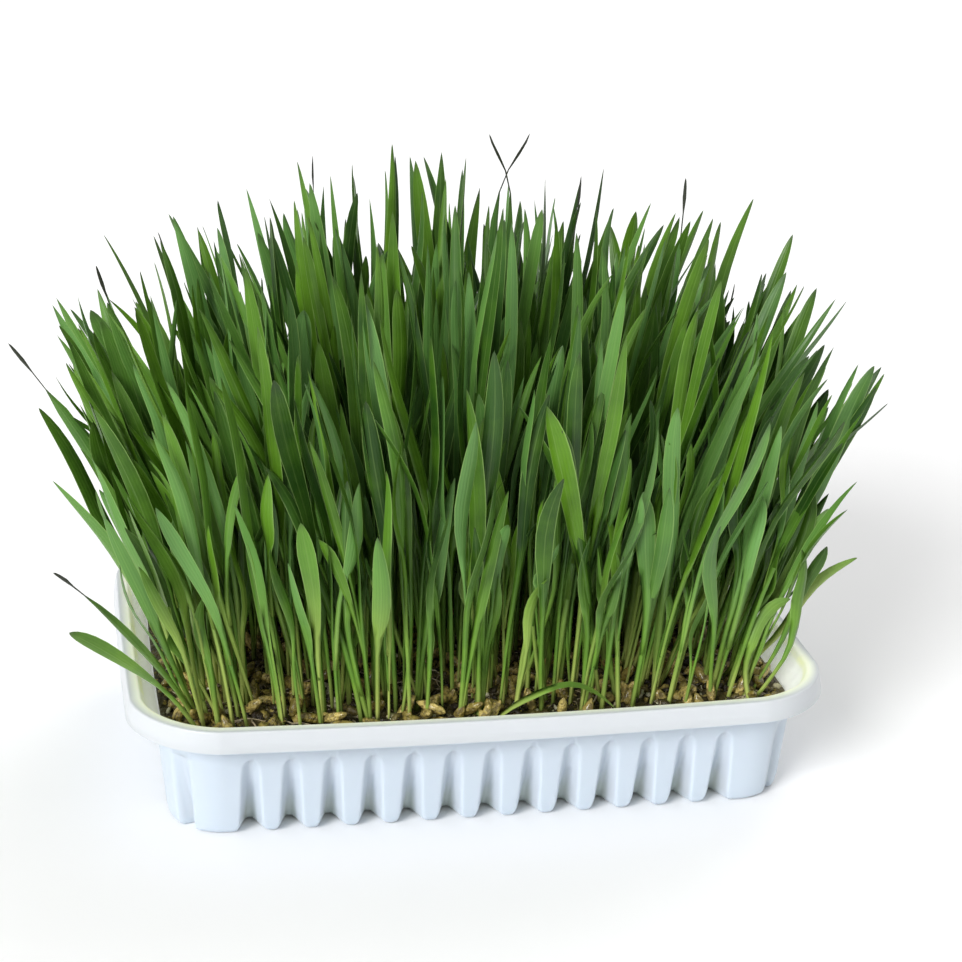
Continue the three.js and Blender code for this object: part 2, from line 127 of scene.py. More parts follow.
def joinStock(stocks):
    # several stocks as one, with the faces' corner numbers moved along
    starts = np.cumsum([0] + [len(stock["points"]) for stock in stocks[:-1]])
    keys = ("points", "place", "tone", "rim")
    joined = {key: np.concatenate([stock[key] for stock in stocks]) for key in keys}
    for key in ("quads", "tris"):
        joined[key] = np.concatenate([stock[key] + start for stock, start in zip(stocks, starts)])
        finishes = [np.full(len(stock[key]), stock["finish"]) for stock in stocks]
        joined[key + "Finish"] = np.concatenate(finishes)
    return joined


def makePiece(name, stocks, materials, replaced=()):
    # one object from stocks of arrays. place and tone are kept as attributes that the materials read, and
    # an edge whose both ends are rim points is sharp
    stock = joinStock(stocks)
    quads, tris = stock["quads"], stock["tris"]
    corners = np.concatenate([quads.ravel(), tris.ravel()])
    starts = np.concatenate([np.arange(len(quads)) * 4, len(quads) * 4 + np.arange(len(tris)) * 3])
    finishes = np.concatenate([stock["quadsFinish"], stock["trisFinish"]])
    mesh = bpy.data.meshes.new(name)
    mesh.vertices.add(len(stock["points"]))
    mesh.vertices.foreach_set("co", (stock["points"] * mm).astype(np.float32).ravel())
    mesh.loops.add(len(corners))
    mesh.loops.foreach_set("vertex_index", corners.astype(np.int32))
    mesh.polygons.add(len(starts))
    mesh.polygons.foreach_set("loop_start", starts.astype(np.int32))
    mesh.polygons.foreach_set("material_index", finishes.astype(np.int32))
    mesh.update(calc_edges=True)
    for key in ("place", "tone"):
        layer = mesh.attributes.new(key, "FLOAT_VECTOR", "POINT")
        layer.data.foreach_set("vector", stock[key].astype(np.float32).ravel())
    mesh.shade_smooth()
    ends = np.empty(len(mesh.edges) * 2, np.int32)
    mesh.edges.foreach_get("vertices", ends)
    sharp = mesh.attributes.get("sharp_edge") or mesh.attributes.new("sharp_edge", "BOOLEAN", "EDGE")
    sharp.data.foreach_set("value", stock["rim"][ends.reshape(-1, 2)].all(1))
    for material in materials:
        mesh.materials.append(material)
    piece = bpy.data.objects.new(name, mesh)
    bpy.context.scene.collection.objects.link(piece)
    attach(piece, "root")
    if replaced:
        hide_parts(*replaced)


def feed(tree, node, inputs):
    # a socket is linked, and a plain value is set on the node's own socket
    for key, value in inputs.items():
        if isinstance(value, bpy.types.NodeSocket):
            tree.links.new(value, node.inputs[key])
        else:
            node.inputs[key].default_value = value


def addNode(tree, kind, inputs=None, **settings):
    node = tree.nodes.new(kind)
    for key, value in settings.items():
        setattr(node, key, value)
    feed(tree, node, inputs or {})
    return node


def calculate(tree, operation, first, second=0.0, clamped=False):
    inputs = {0: first, 1: second}
    return addNode(tree, "ShaderNodeMath", inputs, operation=operation, use_clamp=clamped).outputs[0]


def product(tree, first, *others):
    for other in others:
        first = calculate(tree, "MULTIPLY", first, other)
    return first


def between(tree, value, low, high, toLow=0.0, toHigh=1.0):
    # value carried along an S curve from the range low to high onto the range toLow to toHigh
    inputs = {"Value": value, "From Min": low, "From Max": high, "To Min": toLow, "To Max": toHigh}
    return addNode(tree, "ShaderNodeMapRange", inputs, interpolation_type="SMOOTHSTEP").outputs[0]


def layered(tree, colour, *layers):
    # layers are pairs of a share and a colour, each laid over all before it
    for share, over in layers:
        inputs = {0: share, 6: colour, 7: over}
        colour = addNode(tree, "ShaderNodeMix", inputs, data_type="RGBA").outputs[2]
    return colour


def xyz(tree, vector):
    return addNode(tree, "ShaderNodeSeparateXYZ", {0: vector}).outputs


def attributeParts(tree, name):
    return xyz(tree, addNode(tree, "ShaderNodeAttribute", attribute_name=name).outputs["Vector"])


def rgb(red, green, blue):
    return (red, green, blue, 1.0)


def newGroup(name, numbers):
    # a node group that takes a Vector and some numbers, and puts out a Value
    tree = bpy.data.node_groups.new(name, "ShaderNodeTree")
    tree.interface.new_socket(name="Vector", in_out="INPUT", socket_type="NodeSocketVector")
    for label, value in numbers.items():
        socket = tree.interface.new_socket(name=label, in_out="INPUT", socket_type="NodeSocketFloat")
        socket.default_value = value
    tree.interface.new_socket(name="Value", in_out="OUTPUT", socket_type="NodeSocketFloat")
    given = tree.nodes.new("NodeGroupInput").outputs
    made = tree.nodes.new("NodeGroupOutput")
    pattern = {"Vector": given["Vector"], "Scale": calculate(tree, "DIVIDE", 1 / mm, given["Size"])}
    return tree, given, made, pattern


def makeMottle():
    # clouds: noise of a given size in millimetres, whose middle range is carried from Low to High
    tree, given, made, pattern = newGroup("mottle", {"Size": 5.0, "Low": 0.0, "High": 1.0})
    noise = addNode(tree, "ShaderNodeTexNoise", {**pattern, "Detail": 3}).outputs[0]
    spread = {"Value": noise, "From Min": 0.3, "From Max": 0.7}
    spread |= {"To Min": given["Low"], "To Max": given["High"]}
    feed(tree, made, {"Value": addNode(tree, "ShaderNodeMapRange", spread).outputs[0]})
    return tree


def makeSpecks():
    # specks: in a Share of the cells of a given size in millimetres, all that is nearer to the cell's middle
    # than Radius has a value, which is random from cell to cell
    tree, given, made, pattern = newGroup("specks", {"Size": 2.0, "Share": 0.3, "Radius": 0.4})
    cells = addNode(tree, "ShaderNodeTexVoronoi", pattern).outputs
    parts = addNode(tree, "ShaderNodeSeparateColor", {0: cells["Color"]}).outputs
    isChosen = calculate(tree, "LESS_THAN", parts[0], given["Share"])
    isNear = calculate(tree, "LESS_THAN", cells["Distance"], given["Radius"])
    feed(tree, made, {"Value": product(tree, isChosen, isNear, parts[1])})
    return tree


mottleGroup = makeMottle()
specksGroup = makeSpecks()


def mottled(tree, spot, size, low=0.0, high=1.0):
    inputs = {"Vector": spot, "Size": size, "Low": low, "High": high}
    return addNode(tree, "ShaderNodeGroup", inputs, node_tree=mottleGroup).outputs[0]


def speckled(tree, spot, size, share, radius):
    inputs = {"Vector": spot, "Size": size, "Share": share, "Radius": radius}
    return addNode(tree, "ShaderNodeGroup", inputs, node_tree=specksGroup).outputs[0]


def newMaterial(name):
    material = bpy.data.materials.new(name)
    material.use_nodes = True
    tree = material.node_tree
    shader = next(node for node in tree.nodes if node.type == "BSDF_PRINCIPLED")
    return material, tree, shader, addNode(tree, "ShaderNodeTexCoord").outputs["Object"]


def paint(tree, shader, spot, look, colour, height=None):
    # a look's roughness is (size of its clouds, least, most), and its relief is (size of its clouds,
    # strength, height in millimetres), unless the height is given
    feed(tree, shader, {"Base Color": colour, "Roughness": mottled(tree, spot, *look["roughness"])})
    if "relief" in look:
        size, strength, rise = look["relief"]
        height = mottled(tree, spot, size) if height is None else height
        inputs = {"Height": height, "Strength": strength, "Distance": rise * mm}
        feed(tree, shader, {"Normal": addNode(tree, "ShaderNodeBump", inputs).outputs[0]})


plasticLook = {
    "wall": rgb(0.56, 0.635, 0.72),
    "flute": rgb(0.5, 0.56, 0.5),  # painted shade: greyer green on the flutes' floors, where the ribs shade them
    "fluteShare": (0.45, 0.95, 0.0, 0.7),  # from and to this depth, and how much of the colour it takes
    "rim": rgb(0.585, 0.605, 0.63),
    "rimLevels": (28.7, 29.3),
    # painted light: the inside is lighter and creamier than the outer wall, standing in for daylight through
    # the thin wall
    "inside": rgb(0.88, 0.91, 0.84),
    "stain": rgb(0.76, 0.8, 0.47),
    "stainLevels": (37, 33.4),
    "stainEdge": (32, 33.8, 0.05, 1.0),
    "stainClouds": (9, 0.3, 1.0),
    "haze": rgb(0.6, 0.66, 0.7),
    "hazeClouds": (30, 0.0, 0.06),
    "paintedGlowStrength": 0.3,  # painted light: an emission glow on the inside that stands in for daylight let in through the thin wall
    "softness": {
        "Subsurface Weight": 0.55,
        "Subsurface Radius": (0.9, 1.0, 0.9),
        "Subsurface Scale": 2.4 * mm,
    },
    "roughness": (14, 0.3, 0.42),
    "relief": (3, 0.12, 0.08),
}


def byLevel(tree, height, first, second, toFirst=0.0, toSecond=1.0):
    # from 0 at the first level in millimetres to 1 at the second
    return between(tree, height, first * mm, second * mm, toFirst, toSecond)


def makePlastic():
    # wall, then rim, painted shade in the flutes, a lighter inside and stain by level and by place, which is
    # (1 on the tray's inside, how deep a flute is pressed in, 0). The lighter inside and its glow are
    # painted light that stands in for daylight through the thin wall
    material, tree, shader, spot = newMaterial("whitePlastic")
    look = plasticLook
    height = xyz(tree, spot)[2]
    inside, depth, _ = attributeParts(tree, "place")
    stained = product(
        tree,
        byLevel(tree, height, *look["stainLevels"]),
        inside,
        mottled(tree, spot, *look["stainClouds"]),
        byLevel(tree, height, *look["stainEdge"]),
    )
    colour = layered(
        tree,
        look["wall"],
        (byLevel(tree, height, *look["rimLevels"]), look["rim"]),
        (between(tree, depth, *look["fluteShare"]), look["flute"]),
        (inside, look["inside"]),
        (stained, look["stain"]),
        (mottled(tree, spot, *look["hazeClouds"]), look["haze"]),
    )
    paint(tree, shader, spot, look, colour)
    # painted light: the inside glows in its own colour, standing in for daylight through the thin wall
    paintedGlow = layered(tree, rgb(0, 0, 0), (inside, colour))
    feed(tree, shader, {"Emission Color": paintedGlow, "Emission Strength": look["paintedGlowStrength"]})
    feed(tree, shader, look["softness"])
    return material


soilLook = {
    "dark": rgb(0.024, 0.016, 0.007),
    "brown": rgb(0.13, 0.102, 0.027),
    "tan": rgb(0.4, 0.31, 0.075),
    "pale": rgb(0.66, 0.63, 0.42),
    "clouds": 4,
    "bark": (1.6, 0.3, 0.42),  # size of the cells, share of them with a speck, and its radius in cells
    "grit": (1.1, 0.05, 0.32),
    "roughness": (2.4, 0.2, 0.85),
    "relief": (1.3, 0.9, 0.9),
}
crumbLook = {
    "clouds": (0.9, 0.0, 0.5),
    "roughness": (1.5, 0.1, 0.55),
    "relief": (0.5, 0.7, 0.25),
}


def makeSoilMaterial():
    # dark to brown in clouds, then specks of tan bark and of pale grit
    material, tree, shader, spot = newMaterial("dampSoil")
    colour = layered(
        tree,
        soilLook["dark"],
        (mottled(tree, spot, soilLook["clouds"]), soilLook["brown"]),
        (speckled(tree, spot, *soilLook["bark"]), soilLook["tan"]),
        (speckled(tree, spot, *soilLook["grit"]), soilLook["pale"]),
    )
    paint(tree, shader, spot, soilLook, colour)
    return material


def makeCrumbMaterial():
    # tone's first part runs from black peat through brown bark to pale grit
    material, tree, shader, spot = newMaterial("soilCrumbs")
    tone = attributeParts(tree, "tone")[0]
    colour = layered(
        tree,
        soilLook["dark"],
        (between(tree, tone, 0.2, 0.6), soilLook["brown"]),
        (between(tree, tone, 0.6, 0.8), soilLook["tan"]),
        (between(tree, tone, 0.86, 0.92), soilLook["pale"]),
        (mottled(tree, spot, *crumbLook["clouds"]), soilLook["dark"]),
    )
    paint(tree, shader, spot, crumbLook, colour)
    return material


grainLook = {
    "husk": rgb(0.25, 0.19, 0.033),
    "worn": rgb(0.72, 0.56, 0.18),
    # painted shade: the dark laid into the wrinkles' hollows and along the belly's crease
    "crease": rgb(0.045, 0.026, 0.01),
    "wearSize": 3.4,
    "wrinkleSize": 1.5,
    "wet": {"Coat Weight": 0.5, "Coat Roughness": 0.14},
    "roughness": (2, 0.2, 0.5),
    "relief": (0.8, 0.85, 0.45),
}


def makeGrainMaterial():
    # olive tan skin, golden where it is worn, with painted shade darkening the hollows of the wrinkles and
    # the crease along the belly. place is (how near the crease, from end to end, tint)
    material, tree, shader, spot = newMaterial("grainSkin")
    across, along, tint = attributeParts(tree, "place")
    worn = product(tree, mottled(tree, spot, grainLook["wearSize"]), product(tree, tint, tint))
    worn = calculate(tree, "ADD", worn, product(tree, tint, 0.3), True)
    wrinkle = mottled(tree, spot, grainLook["wrinkleSize"])
    colour = layered(
        tree,
        grainLook["husk"],
        (worn, grainLook["worn"]),
        (between(tree, wrinkle, 0.55, 0.25, 0.0, 0.6), grainLook["crease"]),
        (between(tree, across, 0.55, 0.95, 0.0, 0.85), grainLook["crease"]),
        (between(tree, along, 0.82, 1.0, 0.0, 0.6), soilLook["brown"]),
    )
    height = calculate(tree, "ADD", mottled(tree, spot, grainLook["relief"][0]), wrinkle)
    paint(tree, shader, spot, grainLook, colour, height)
    feed(tree, shader, grainLook["wet"])
    return material


leafLook = {
    "sheath": rgb(0.53, 0.6, 0.16),
    "stem": rgb(0.175, 0.34, 0.038),
    "shadedStem": rgb(0.11, 0.24, 0.036),
    "deep": rgb(0.014, 0.053, 0.003),
    "fresh": rgb(0.098, 0.228, 0.012),
    "waxy": rgb(0.13, 0.295, 0.072),
    # pale lines along the edges and the midrib: the midrib's and partly the margin's own paler colour, and
    # along the edges also a painted highlight
    "edge": rgb(0.27, 0.42, 0.12),
    "withered": rgb(0.03, 0.035, 0.022),
    "clouds": (11, -0.25, 0.25),
    "stemClouds": 7,
    "stemLevels": (78, 36),  # the stem's colours set in from the first level down to the second
    "sheathLevels": (42, 27),
    "veinsPerMillimetre": 2.6,
    "veinShare": 0.1,
    "gloss": 0.33,
    "roughness": (6, 0.34, 0.5),
    "relief": (0, 0.15, 0.1),  # of the veins, so it has no clouds
}


def makeLeafMaterial():
    # deep to fresh green by clouds and tint, where the tint also carries painted light that lightens leaves
    # towards the left, then wax, pale stem, sheath, veins, pale edge and midrib lines that are partly
    # painted highlight, and a dead tip. place is (across, along, tint): across is -1 and 1 at the edges and
    # 0 at the midrib, and along runs from root to tip. tone is (half the width in millimetres, how withered
    # the tip is, how waxy the leaf is)
    material, tree, shader, spot = newMaterial("wheatLeaf")
    look = leafLook
    across, along, tint = attributeParts(tree, "place")
    width, withered, waxy = attributeParts(tree, "tone")
    height = xyz(tree, spot)[2]
    cloudy = calculate(tree, "ADD", mottled(tree, spot, *look["clouds"]), tint, True)
    stem = layered(
        tree,
        look["stem"],
        (mottled(tree, spot, look["stemClouds"]), look["shadedStem"]),
        (between(tree, tint, 0.5, 1, 0.0, 0.55), look["sheath"]),
    )
    isSheath = byLevel(tree, height, *look["sheathLevels"])
    isSheath = product(tree, isSheath, between(tree, tint, 0, 1, 0.35, 1.0))
    vein = calculate(tree, "SINE", product(tree, across, width, math.pi, look["veinsPerMillimetre"]))
    offMidrib = calculate(tree, "ABSOLUTE", across)
    # painted highlight along the leaf's edges, together with the leaf's own paler margin and midrib
    edge = between(tree, offMidrib, 0.88, 0.98, 0.0, 0.6)
    midrib = between(tree, offMidrib, 0.1, 0.02, 0.0, 0.15)
    paleEdgeAndHighlight = product(tree, calculate(tree, "MAXIMUM", edge, midrib), between(tree, along, 0.3, 0.5))
    dead = product(tree, between(tree, along, 0.8, 0.87), withered)
    dead = calculate(tree, "MAXIMUM", dead, between(tree, along, 0.95, 1.0, 0.0, 0.45))
    colour = layered(
        tree,
        look["deep"],
        (cloudy, look["fresh"]),
        (waxy, look["waxy"]),
        (byLevel(tree, height, *look["stemLevels"]), stem),
        (isSheath, look["sheath"]),
        (between(tree, vein, -1, 1, 0.0, look["veinShare"]), look["deep"]),
        (paleEdgeAndHighlight, look["edge"]),
        (dead, look["withered"]),
    )
    paint(tree, shader, spot, look, colour, vein)
    feed(tree, shader, {"Specular IOR Level": look["gloss"]})
    return material


rootLook = {
    "pale": rgb(0.62, 0.55, 0.38),
    "brown": rgb(0.3, 0.22, 0.12),
    "clouds": 5,
    "roughness": (3, 0.3, 0.6),
}


def makeRootMaterial():
    # pale to brown in clouds
    material, tree, shader, spot = newMaterial("rootFibre")
    colour = layered(tree, rootLook["pale"], (mottled(tree, spot, rootLook["clouds"]), rootLook["brown"]))
    paint(tree, shader, spot, rootLook, colour)
    return material


plastic = makePlastic()
soilMaterial = makeSoilMaterial()
crumbMaterial = makeCrumbMaterial()
grainMaterial = makeGrainMaterial()
leafMaterial = makeLeafMaterial()
rootMaterial = makeRootMaterial()
print("materials made")


trayShape = {
    "size": (187, 132),
    "height": 34.6,
    "wall": 0.9,
    "rimCorner": 22,
    "cornerShrink": 0.8,  # loss of corner radius for each millimetre of inset
    "bow": (1, 3.2),  # of the short sides and of the long ones
    "bowAtBase": 0.25,  # share of it that is left at the base
    "skirtBottom": 28.8,
    "skirtTaper": 0.9,
    "rimRound": 0.55,
    "rimCrease": 0.11,  # radians: how far the rim's sides break where they meet its corners
    "creaseFrom": 27,  # the crease sets in above this level
    "creaseRise": 1.5,
    "flangeInner": 4.2,
    "innerRound": 0.9,
    "shoulder": 27,
    "shoulderInset": 7.8,
    "baseInset": 10.2,
    "middleInset": 30,  # of the last ring before the middle of the floor and of the underside
    "footRound": 2.6,
    "columnStep": 0.4,
    "cornerColumns": 24,
}
fluteShape = {
    "pitch": 10.47,
    "counts": (13, 7),  # along a long side and along a short one
    "top": 22.6,
    "depth": 6.6,
    "archDepth": 0.8,  # a flute is this deep just under its rounded top
    "archRise": 2.6,
    "openHalf": 2.35,
    "openGain": 0.85,  # how much wider it opens at the base
    "floorHalf": 0.35,
    "floorGain": 0.4,  # how much wider its floor is at the base
    "footSpread": 4.2,  # the ribs' feet are rounded over this height
    "footGain": 2.1,
    "softness": 0.4,  # how far a flute's edges are rounded
    "cornerDepth": 4,
    "cornerHalf": 0.2,  # radians, from the middle of the corner
}


def wallInset(z):
    # straight line from the base's inset to the shoulder's
    share = z / trayShape["shoulder"]
    return trayShape["baseInset"] + (trayShape["shoulderInset"] - trayShape["baseInset"]) * share


def outlineColumns(step, cornerColumns):
    # the columns round a rounded rectangle, counter-clockwise from its right side: for each, its place along
    # the straight sides as shares, and the way that it faces as an angle
    straight = np.array(trayShape["size"]) / 2 - trayShape["rimCorner"]
    turn = np.linspace(0, quarterTurn, cornerColumns, endpoint=False)
    shares, facing = [], []
    for quarter, signs in enumerate([(1.0, 1.0), (-1.0, 1.0), (-1.0, -1.0), (1.0, -1.0)]):
        axis = quarter % 2
        run = np.linspace(1, -1, int(2 * straight[axis] / step), endpoint=False)
        side = np.tile(signs, (len(run), 1))
        side[:, axis] *= run
        shares += [np.tile(signs, (cornerColumns, 1)), side]
        facing += [turn + quarter * quarterTurn, np.full(len(run), (quarter + 1) * quarterTurn)]
    return np.concatenate(shares), np.concatenate(facing)


def outlinePoints(shares, facing, inset, z, crease=0):
    # points of the rounded rectangle at one level, inset from the rim's line: the corner's middle plus its
    # radius along the way it faces. The sides bulge by 1 - s², for the share s from their middle. With a
    # crease, a corner's arc is flatter and meets the sides at that angle
    corner = trayShape["rimCorner"] - inset * trayShape["cornerShrink"]
    half = np.array(trayShape["size"]) / 2 - inset
    turn = np.mod(facing, quarterTurn)
    isCorner = (np.abs(shares) == 1).all(1) & (turn > 0)
    radius = np.where(isCorner, corner / (math.cos(crease) - math.sin(crease)), corner)
    bent = np.where(isCorner, facing - turn + crease + turn * (1 - 4 * crease / np.pi), facing)
    moved = np.where(isCorner, corner - radius * math.cos(crease), 0)
    arc = radius[:, None] * np.stack([np.cos(bent), np.sin(bent)], 1)
    flat = shares * (half - corner + moved[:, None]) + arc
    bulge = trayShape["bowAtBase"] + (1 - trayShape["bowAtBase"]) * z / trayShape["height"]
    out = np.array(trayShape["bow"]) * bulge * (1 - (flat / half)[:, ::-1] ** 2)
    return np.column_stack([flat + np.sign(flat) * out, np.full(len(flat), float(z))])


def fluteDepth(shares, facing, z):
    # how far the wall is pressed in at one level: deepest at the base, with an arch at the top, and across
    # it a flank that slopes from the rib's face down to the flute's floor, with rounded edges
    shape = fluteShape
    level = min(max(1 - z / shape["top"], 0), 1)
    arch = shape["archDepth"] * (level > 0)
    underTop = min((shape["top"] - z) / shape["archRise"], 1) if level > 0 else 0
    openHalf = shape["openHalf"] + shape["openGain"] * level
    openHalf *= math.sqrt(1 - (1 - underTop) ** 2)
    footLevel = max(1 - z / shape["footSpread"], 0)
    openHalf += shape["footGain"] * (1 - math.sqrt(1 - footLevel ** 2))
    inset = trayShape["baseInset"]
    corner = trayShape["rimCorner"] - inset * trayShape["cornerShrink"]
    along = shares * (np.array(trayShape["size"]) / 2 - inset - corner)
    floorHalf = min(shape["floorHalf"] + shape["floorGain"] * level, openHalf * 0.5)
    pressed = np.zeros(len(shares))
    for axis, count in enumerate(shape["counts"]):
        isSide = (np.abs(shares[:, axis]) < 1) & (np.abs(shares[:, 1 - axis]) == 1)
        nearest = np.clip(np.round(along[:, axis] / shape["pitch"]), -(count // 2), count // 2)
        off = np.abs(along[:, axis] - nearest * shape["pitch"])
        across = np.clip((openHalf - off) / (openHalf - floorHalf + 0.01), 0, 1)
        across = across + (smoothStep(across, 0, 1) - across) * shape["softness"]
        pressed = np.where(isSide, across * (shape["depth"] * level + arch), pressed)
    turned = np.abs(np.mod(facing, quarterTurn) - quarterTurn / 2)
    isCorner = (np.abs(shares) == 1).all(1)
    across = 1 - smoothStep(turned, shape["cornerHalf"] * 0.3, shape["cornerHalf"])
    return np.where(isCorner, across * (shape["cornerDepth"] * level + arch), pressed)


def trayRows():
    # the shell's section as (inset, level, share of the flutes that it takes, 1 on the inside), from the
    # middle of the underside out, up the wall, over the rim and down to the middle of the floor. The foot
    # and the rim's two edges are arcs, with the sine and cosine of a turn for inset and level
    shape = trayShape
    wall, height, foot, base = shape["wall"], shape["height"], shape["footRound"], shape["baseInset"]
    taper, flange, skirt = shape["skirtTaper"], shape["flangeInner"], shape["skirtBottom"]
    top, middle, shoulder = fluteShape["top"], shape["middleInset"], shape["shoulderInset"]
    rows = [(middle, 0, 0, 0), (base + foot + 6, 0, 0.4, 0), (base + foot, 0, 1, 0)]
    for turn in np.linspace(0, quarterTurn, 7)[1:]:
        rows.append((base + foot * (1 - math.sin(turn)), foot * (1 - math.cos(turn)), 1, 0))
    for z in [*np.linspace(foot, top - 2, 12)[1:], *np.linspace(top - 2, top, 9)[1:]]:
        rows.append((wallInset(z), z, 1, 0))
    rows += [
        (wallInset(25), 25, 0, 0),
        (shoulder, shape["shoulder"], 0, 0),
        (6.2, 30, 0, 0),
        (flange - wall * 0.4, height - wall * 1.3, 0, 0),
        (flange - wall, height - wall, 0, 0),
        (taper + wall + 0.5, height - wall, 0, 0),
        (taper + wall, height - wall - 0.4, 0, 0),
        (wall, skirt + 0.2, 0, 0),
        (wall * 0.8, skirt, 0, 0),
        (wall * 0.25, skirt, 0, 0),
        (0, skirt + 0.25, 0, 0),
        (taper * 0.5, (skirt + height) / 2, 0, 0),
    ]
    for turn in np.linspace(0, quarterTurn, 6):
        inset = taper + shape["rimRound"] * (1 - math.cos(turn))
        rows.append((inset, height - shape["rimRound"] * (1 - math.sin(turn)), 0, 0))
    last = np.pi / 3
    for turn in np.linspace(0, last, 5):
        inset = flange - 0.6 + shape["innerRound"] * math.sin(turn)
        # the inside mark rises from 0.8 to 1 over the flange's inner rounding, and with it the painted light
        # of the lighter inside and its glow
        rows.append((inset, height - shape["innerRound"] * (1 - math.cos(turn)), 0, 0.8 + 0.2 * turn / last))
    rows += [(5.4, 32.6, 0, 1), (7, 29.9, 0, 1), (shoulder + wall - 0.4, 27.8, 0, 1)]
    rows += [(wallInset(25) + wall, 25, 0, 1)]
    rows += [(wallInset(z) + wall, z, 1, 1) for z in np.linspace(top, wall + foot, 9)]
    rows += [(base + wall + foot * 0.3, wall + foot * 0.3, 1, 1), (base + wall + foot, wall, 1, 1)]
    return rows + [(middle, wall, 0, 1)]


def makeTray():
    # each row of the section carried round the outline, less the flutes along the way that the wall faces
    shares, facing = outlineColumns(trayShape["columnStep"], trayShape["cornerColumns"])
    outward = np.stack([np.cos(facing), np.sin(facing), np.zeros(len(facing))], 1)
    rows = trayRows()
    rings, depths = [], []
    for inset, z, fluted, _ in rows:
        pressed = fluteDepth(shares, facing, z) * fluted
        depths.append(pressed / fluteShape["depth"])
        share = (z - trayShape["creaseFrom"]) / trayShape["creaseRise"]
        ring = outlinePoints(shares, facing, inset, z, trayShape["rimCrease"] * min(max(share, 0), 1))
        rings.append(ring - outward * pressed[:, None])
    points = np.concatenate(rings + [[[0, 0, 0]], [[0, 0, trayShape["wall"]]]])
    place = np.zeros((len(points), 3))
    place[:-2, 0] = np.repeat([row[3] for row in rows], len(facing))
    place[:-2, 1] = np.concatenate(depths)
    stock = makeStock(points, *closedFaces(len(rows), len(facing)), place=place)
    makePiece("tray_shell", [stock], [plastic], ["tray"])


makeTray()
print("tray made")

soilShape = {
    "top": 27,
    "relief": 1.1,
    "bottom": 1.7,
    "gap": 0.8,
    "edgeInset": 0.5,
    "edgeDrop": 0.6,
    "columnStep": 1.6,
    "cornerColumns": 10,
    "rings": 64,
    "lump": 1.1,  # height of the clods
    "crumble": 0.5,  # height of the fine crumbs
}


def soilLevel(spots):
    # the top's mean level and three crossed waves, as the bed's solid has, with clods and crumbs on them
    x, y = spots[..., 0], spots[..., 1]
    broad = np.sin(x * 0.21 + y * 0.13) + np.sin(y * 0.33 - x * 0.17 + 2)
    broad = broad + np.sin(x * 0.61 + 1) * np.sin(y * 0.53)
    level = soilShape["top"] + soilShape["relief"] * 0.4 * broad
    level = level + soilShape["lump"] * waves(x, y, 31, 30, 5, 14)
    return level + soilShape["crumble"] * waves(x, y, 32, 40, 1.6, 4)


def onSoil(spots, raised):
    return np.concatenate([spots, (soilLevel(spots) + raised)[..., None]], -1)


def soilInset(z):
    # clear of the wall, and below their top of the flutes pressed into it
    sunk = fluteShape["depth"] * max(1 - z / fluteShape["top"], 0) + fluteShape["archDepth"]
    return wallInset(z) + trayShape["wall"] + soilShape["gap"] + (sunk if z < fluteShape["top"] else 0)


def makeSoil():
    # side and underside as rings of the tray's outline, and the top as that outline shrunk to the middle
    shares, facing = outlineColumns(soilShape["columnStep"], soilShape["cornerColumns"])
    edgeInset = soilInset(25) - soilShape["edgeInset"]
    edge = outlinePoints(shares, facing, edgeInset, soilShape["top"] - soilShape["edgeDrop"])
    levels = (soilShape["bottom"], fluteShape["top"])
    rings = [outlinePoints(shares, facing, soilInset(z), z) for z in levels] + [edge]
    for share in np.linspace(0.993, 0.02, soilShape["rings"]):
        ring = edge * [share, share, 1]
        rise = soilLevel(ring)
        ring[:, 2] = rise + (edge[:, 2] - rise) * smoothStep(share, 0.97, 1.0)
        rings.append(ring)
    points = np.concatenate(rings + [[[0, 0, soilShape["bottom"]]], onSoil(np.zeros((1, 2)), 0)])
    stock = makeStock(points, *closedFaces(len(rings), len(facing)))
    makePiece("soil_bed", [stock], [soilMaterial], ["soil"])


makeSoil()
print("soil made")


def turnedFrames(random, count, mostTilt):
    # three axes for each copy: turned about the upright and rolled by any angle, and tilted up to mostTilt
    heading = random.uniform(0, fullTurn, count)
    tilt = random.uniform(-mostTilt, mostTilt, count)
    roll = random.uniform(0, fullTurn, count)
    long = np.stack([np.cos(heading) * np.cos(tilt), np.sin(heading) * np.cos(tilt), np.sin(tilt)], 1)
    flat = np.stack([-np.sin(heading), np.cos(heading), np.zeros(count)], 1)
    wide = flat * np.cos(roll)[:, None] + np.cross(long, flat) * np.sin(roll)[:, None]
    return long, wide, np.cross(long, wide)


def ovals(centres, sizes, frames, rings, columns, lumpiness, random, taper=1):
    # closed ovals on a grid of two angles: the cosine of the first along the axis, and its sine, raised to
    # the taper, times the cosine and sine of the second across it. Each is stretched to its sizes along its
    # own axes and made uneven by a random share at each point. A taper over 1 draws the ends to points
    polar = np.linspace(0, np.pi, rings + 2)[1:-1]
    around = np.arange(columns) * 2 * np.pi / columns
    grid = np.stack([
        np.repeat(-np.cos(polar), columns),
        np.outer(np.sin(polar) ** taper, np.cos(around)).ravel(),
        np.outer(np.sin(polar) ** taper, np.sin(around)).ravel(),
    ], 1)
    shape = np.concatenate([grid, [[-1, 0, 0], [1, 0, 0]]])
    count, each = len(centres), len(shape)
    uneven = 1 + lumpiness * random.uniform(-1, 1, (count, each, 1))
    scaled = shape[None] * uneven * sizes[:, None, :] / 2
    long, wide, deep = (axis[:, None, :] for axis in frames)
    points = centres[:, None, :] + scaled[..., :1] * long + scaled[..., 1:2] * wide + scaled[..., 2:] * deep
    return points.reshape(-1, 3), copiedFaces(closedFaces(rings, columns), count, each), shape


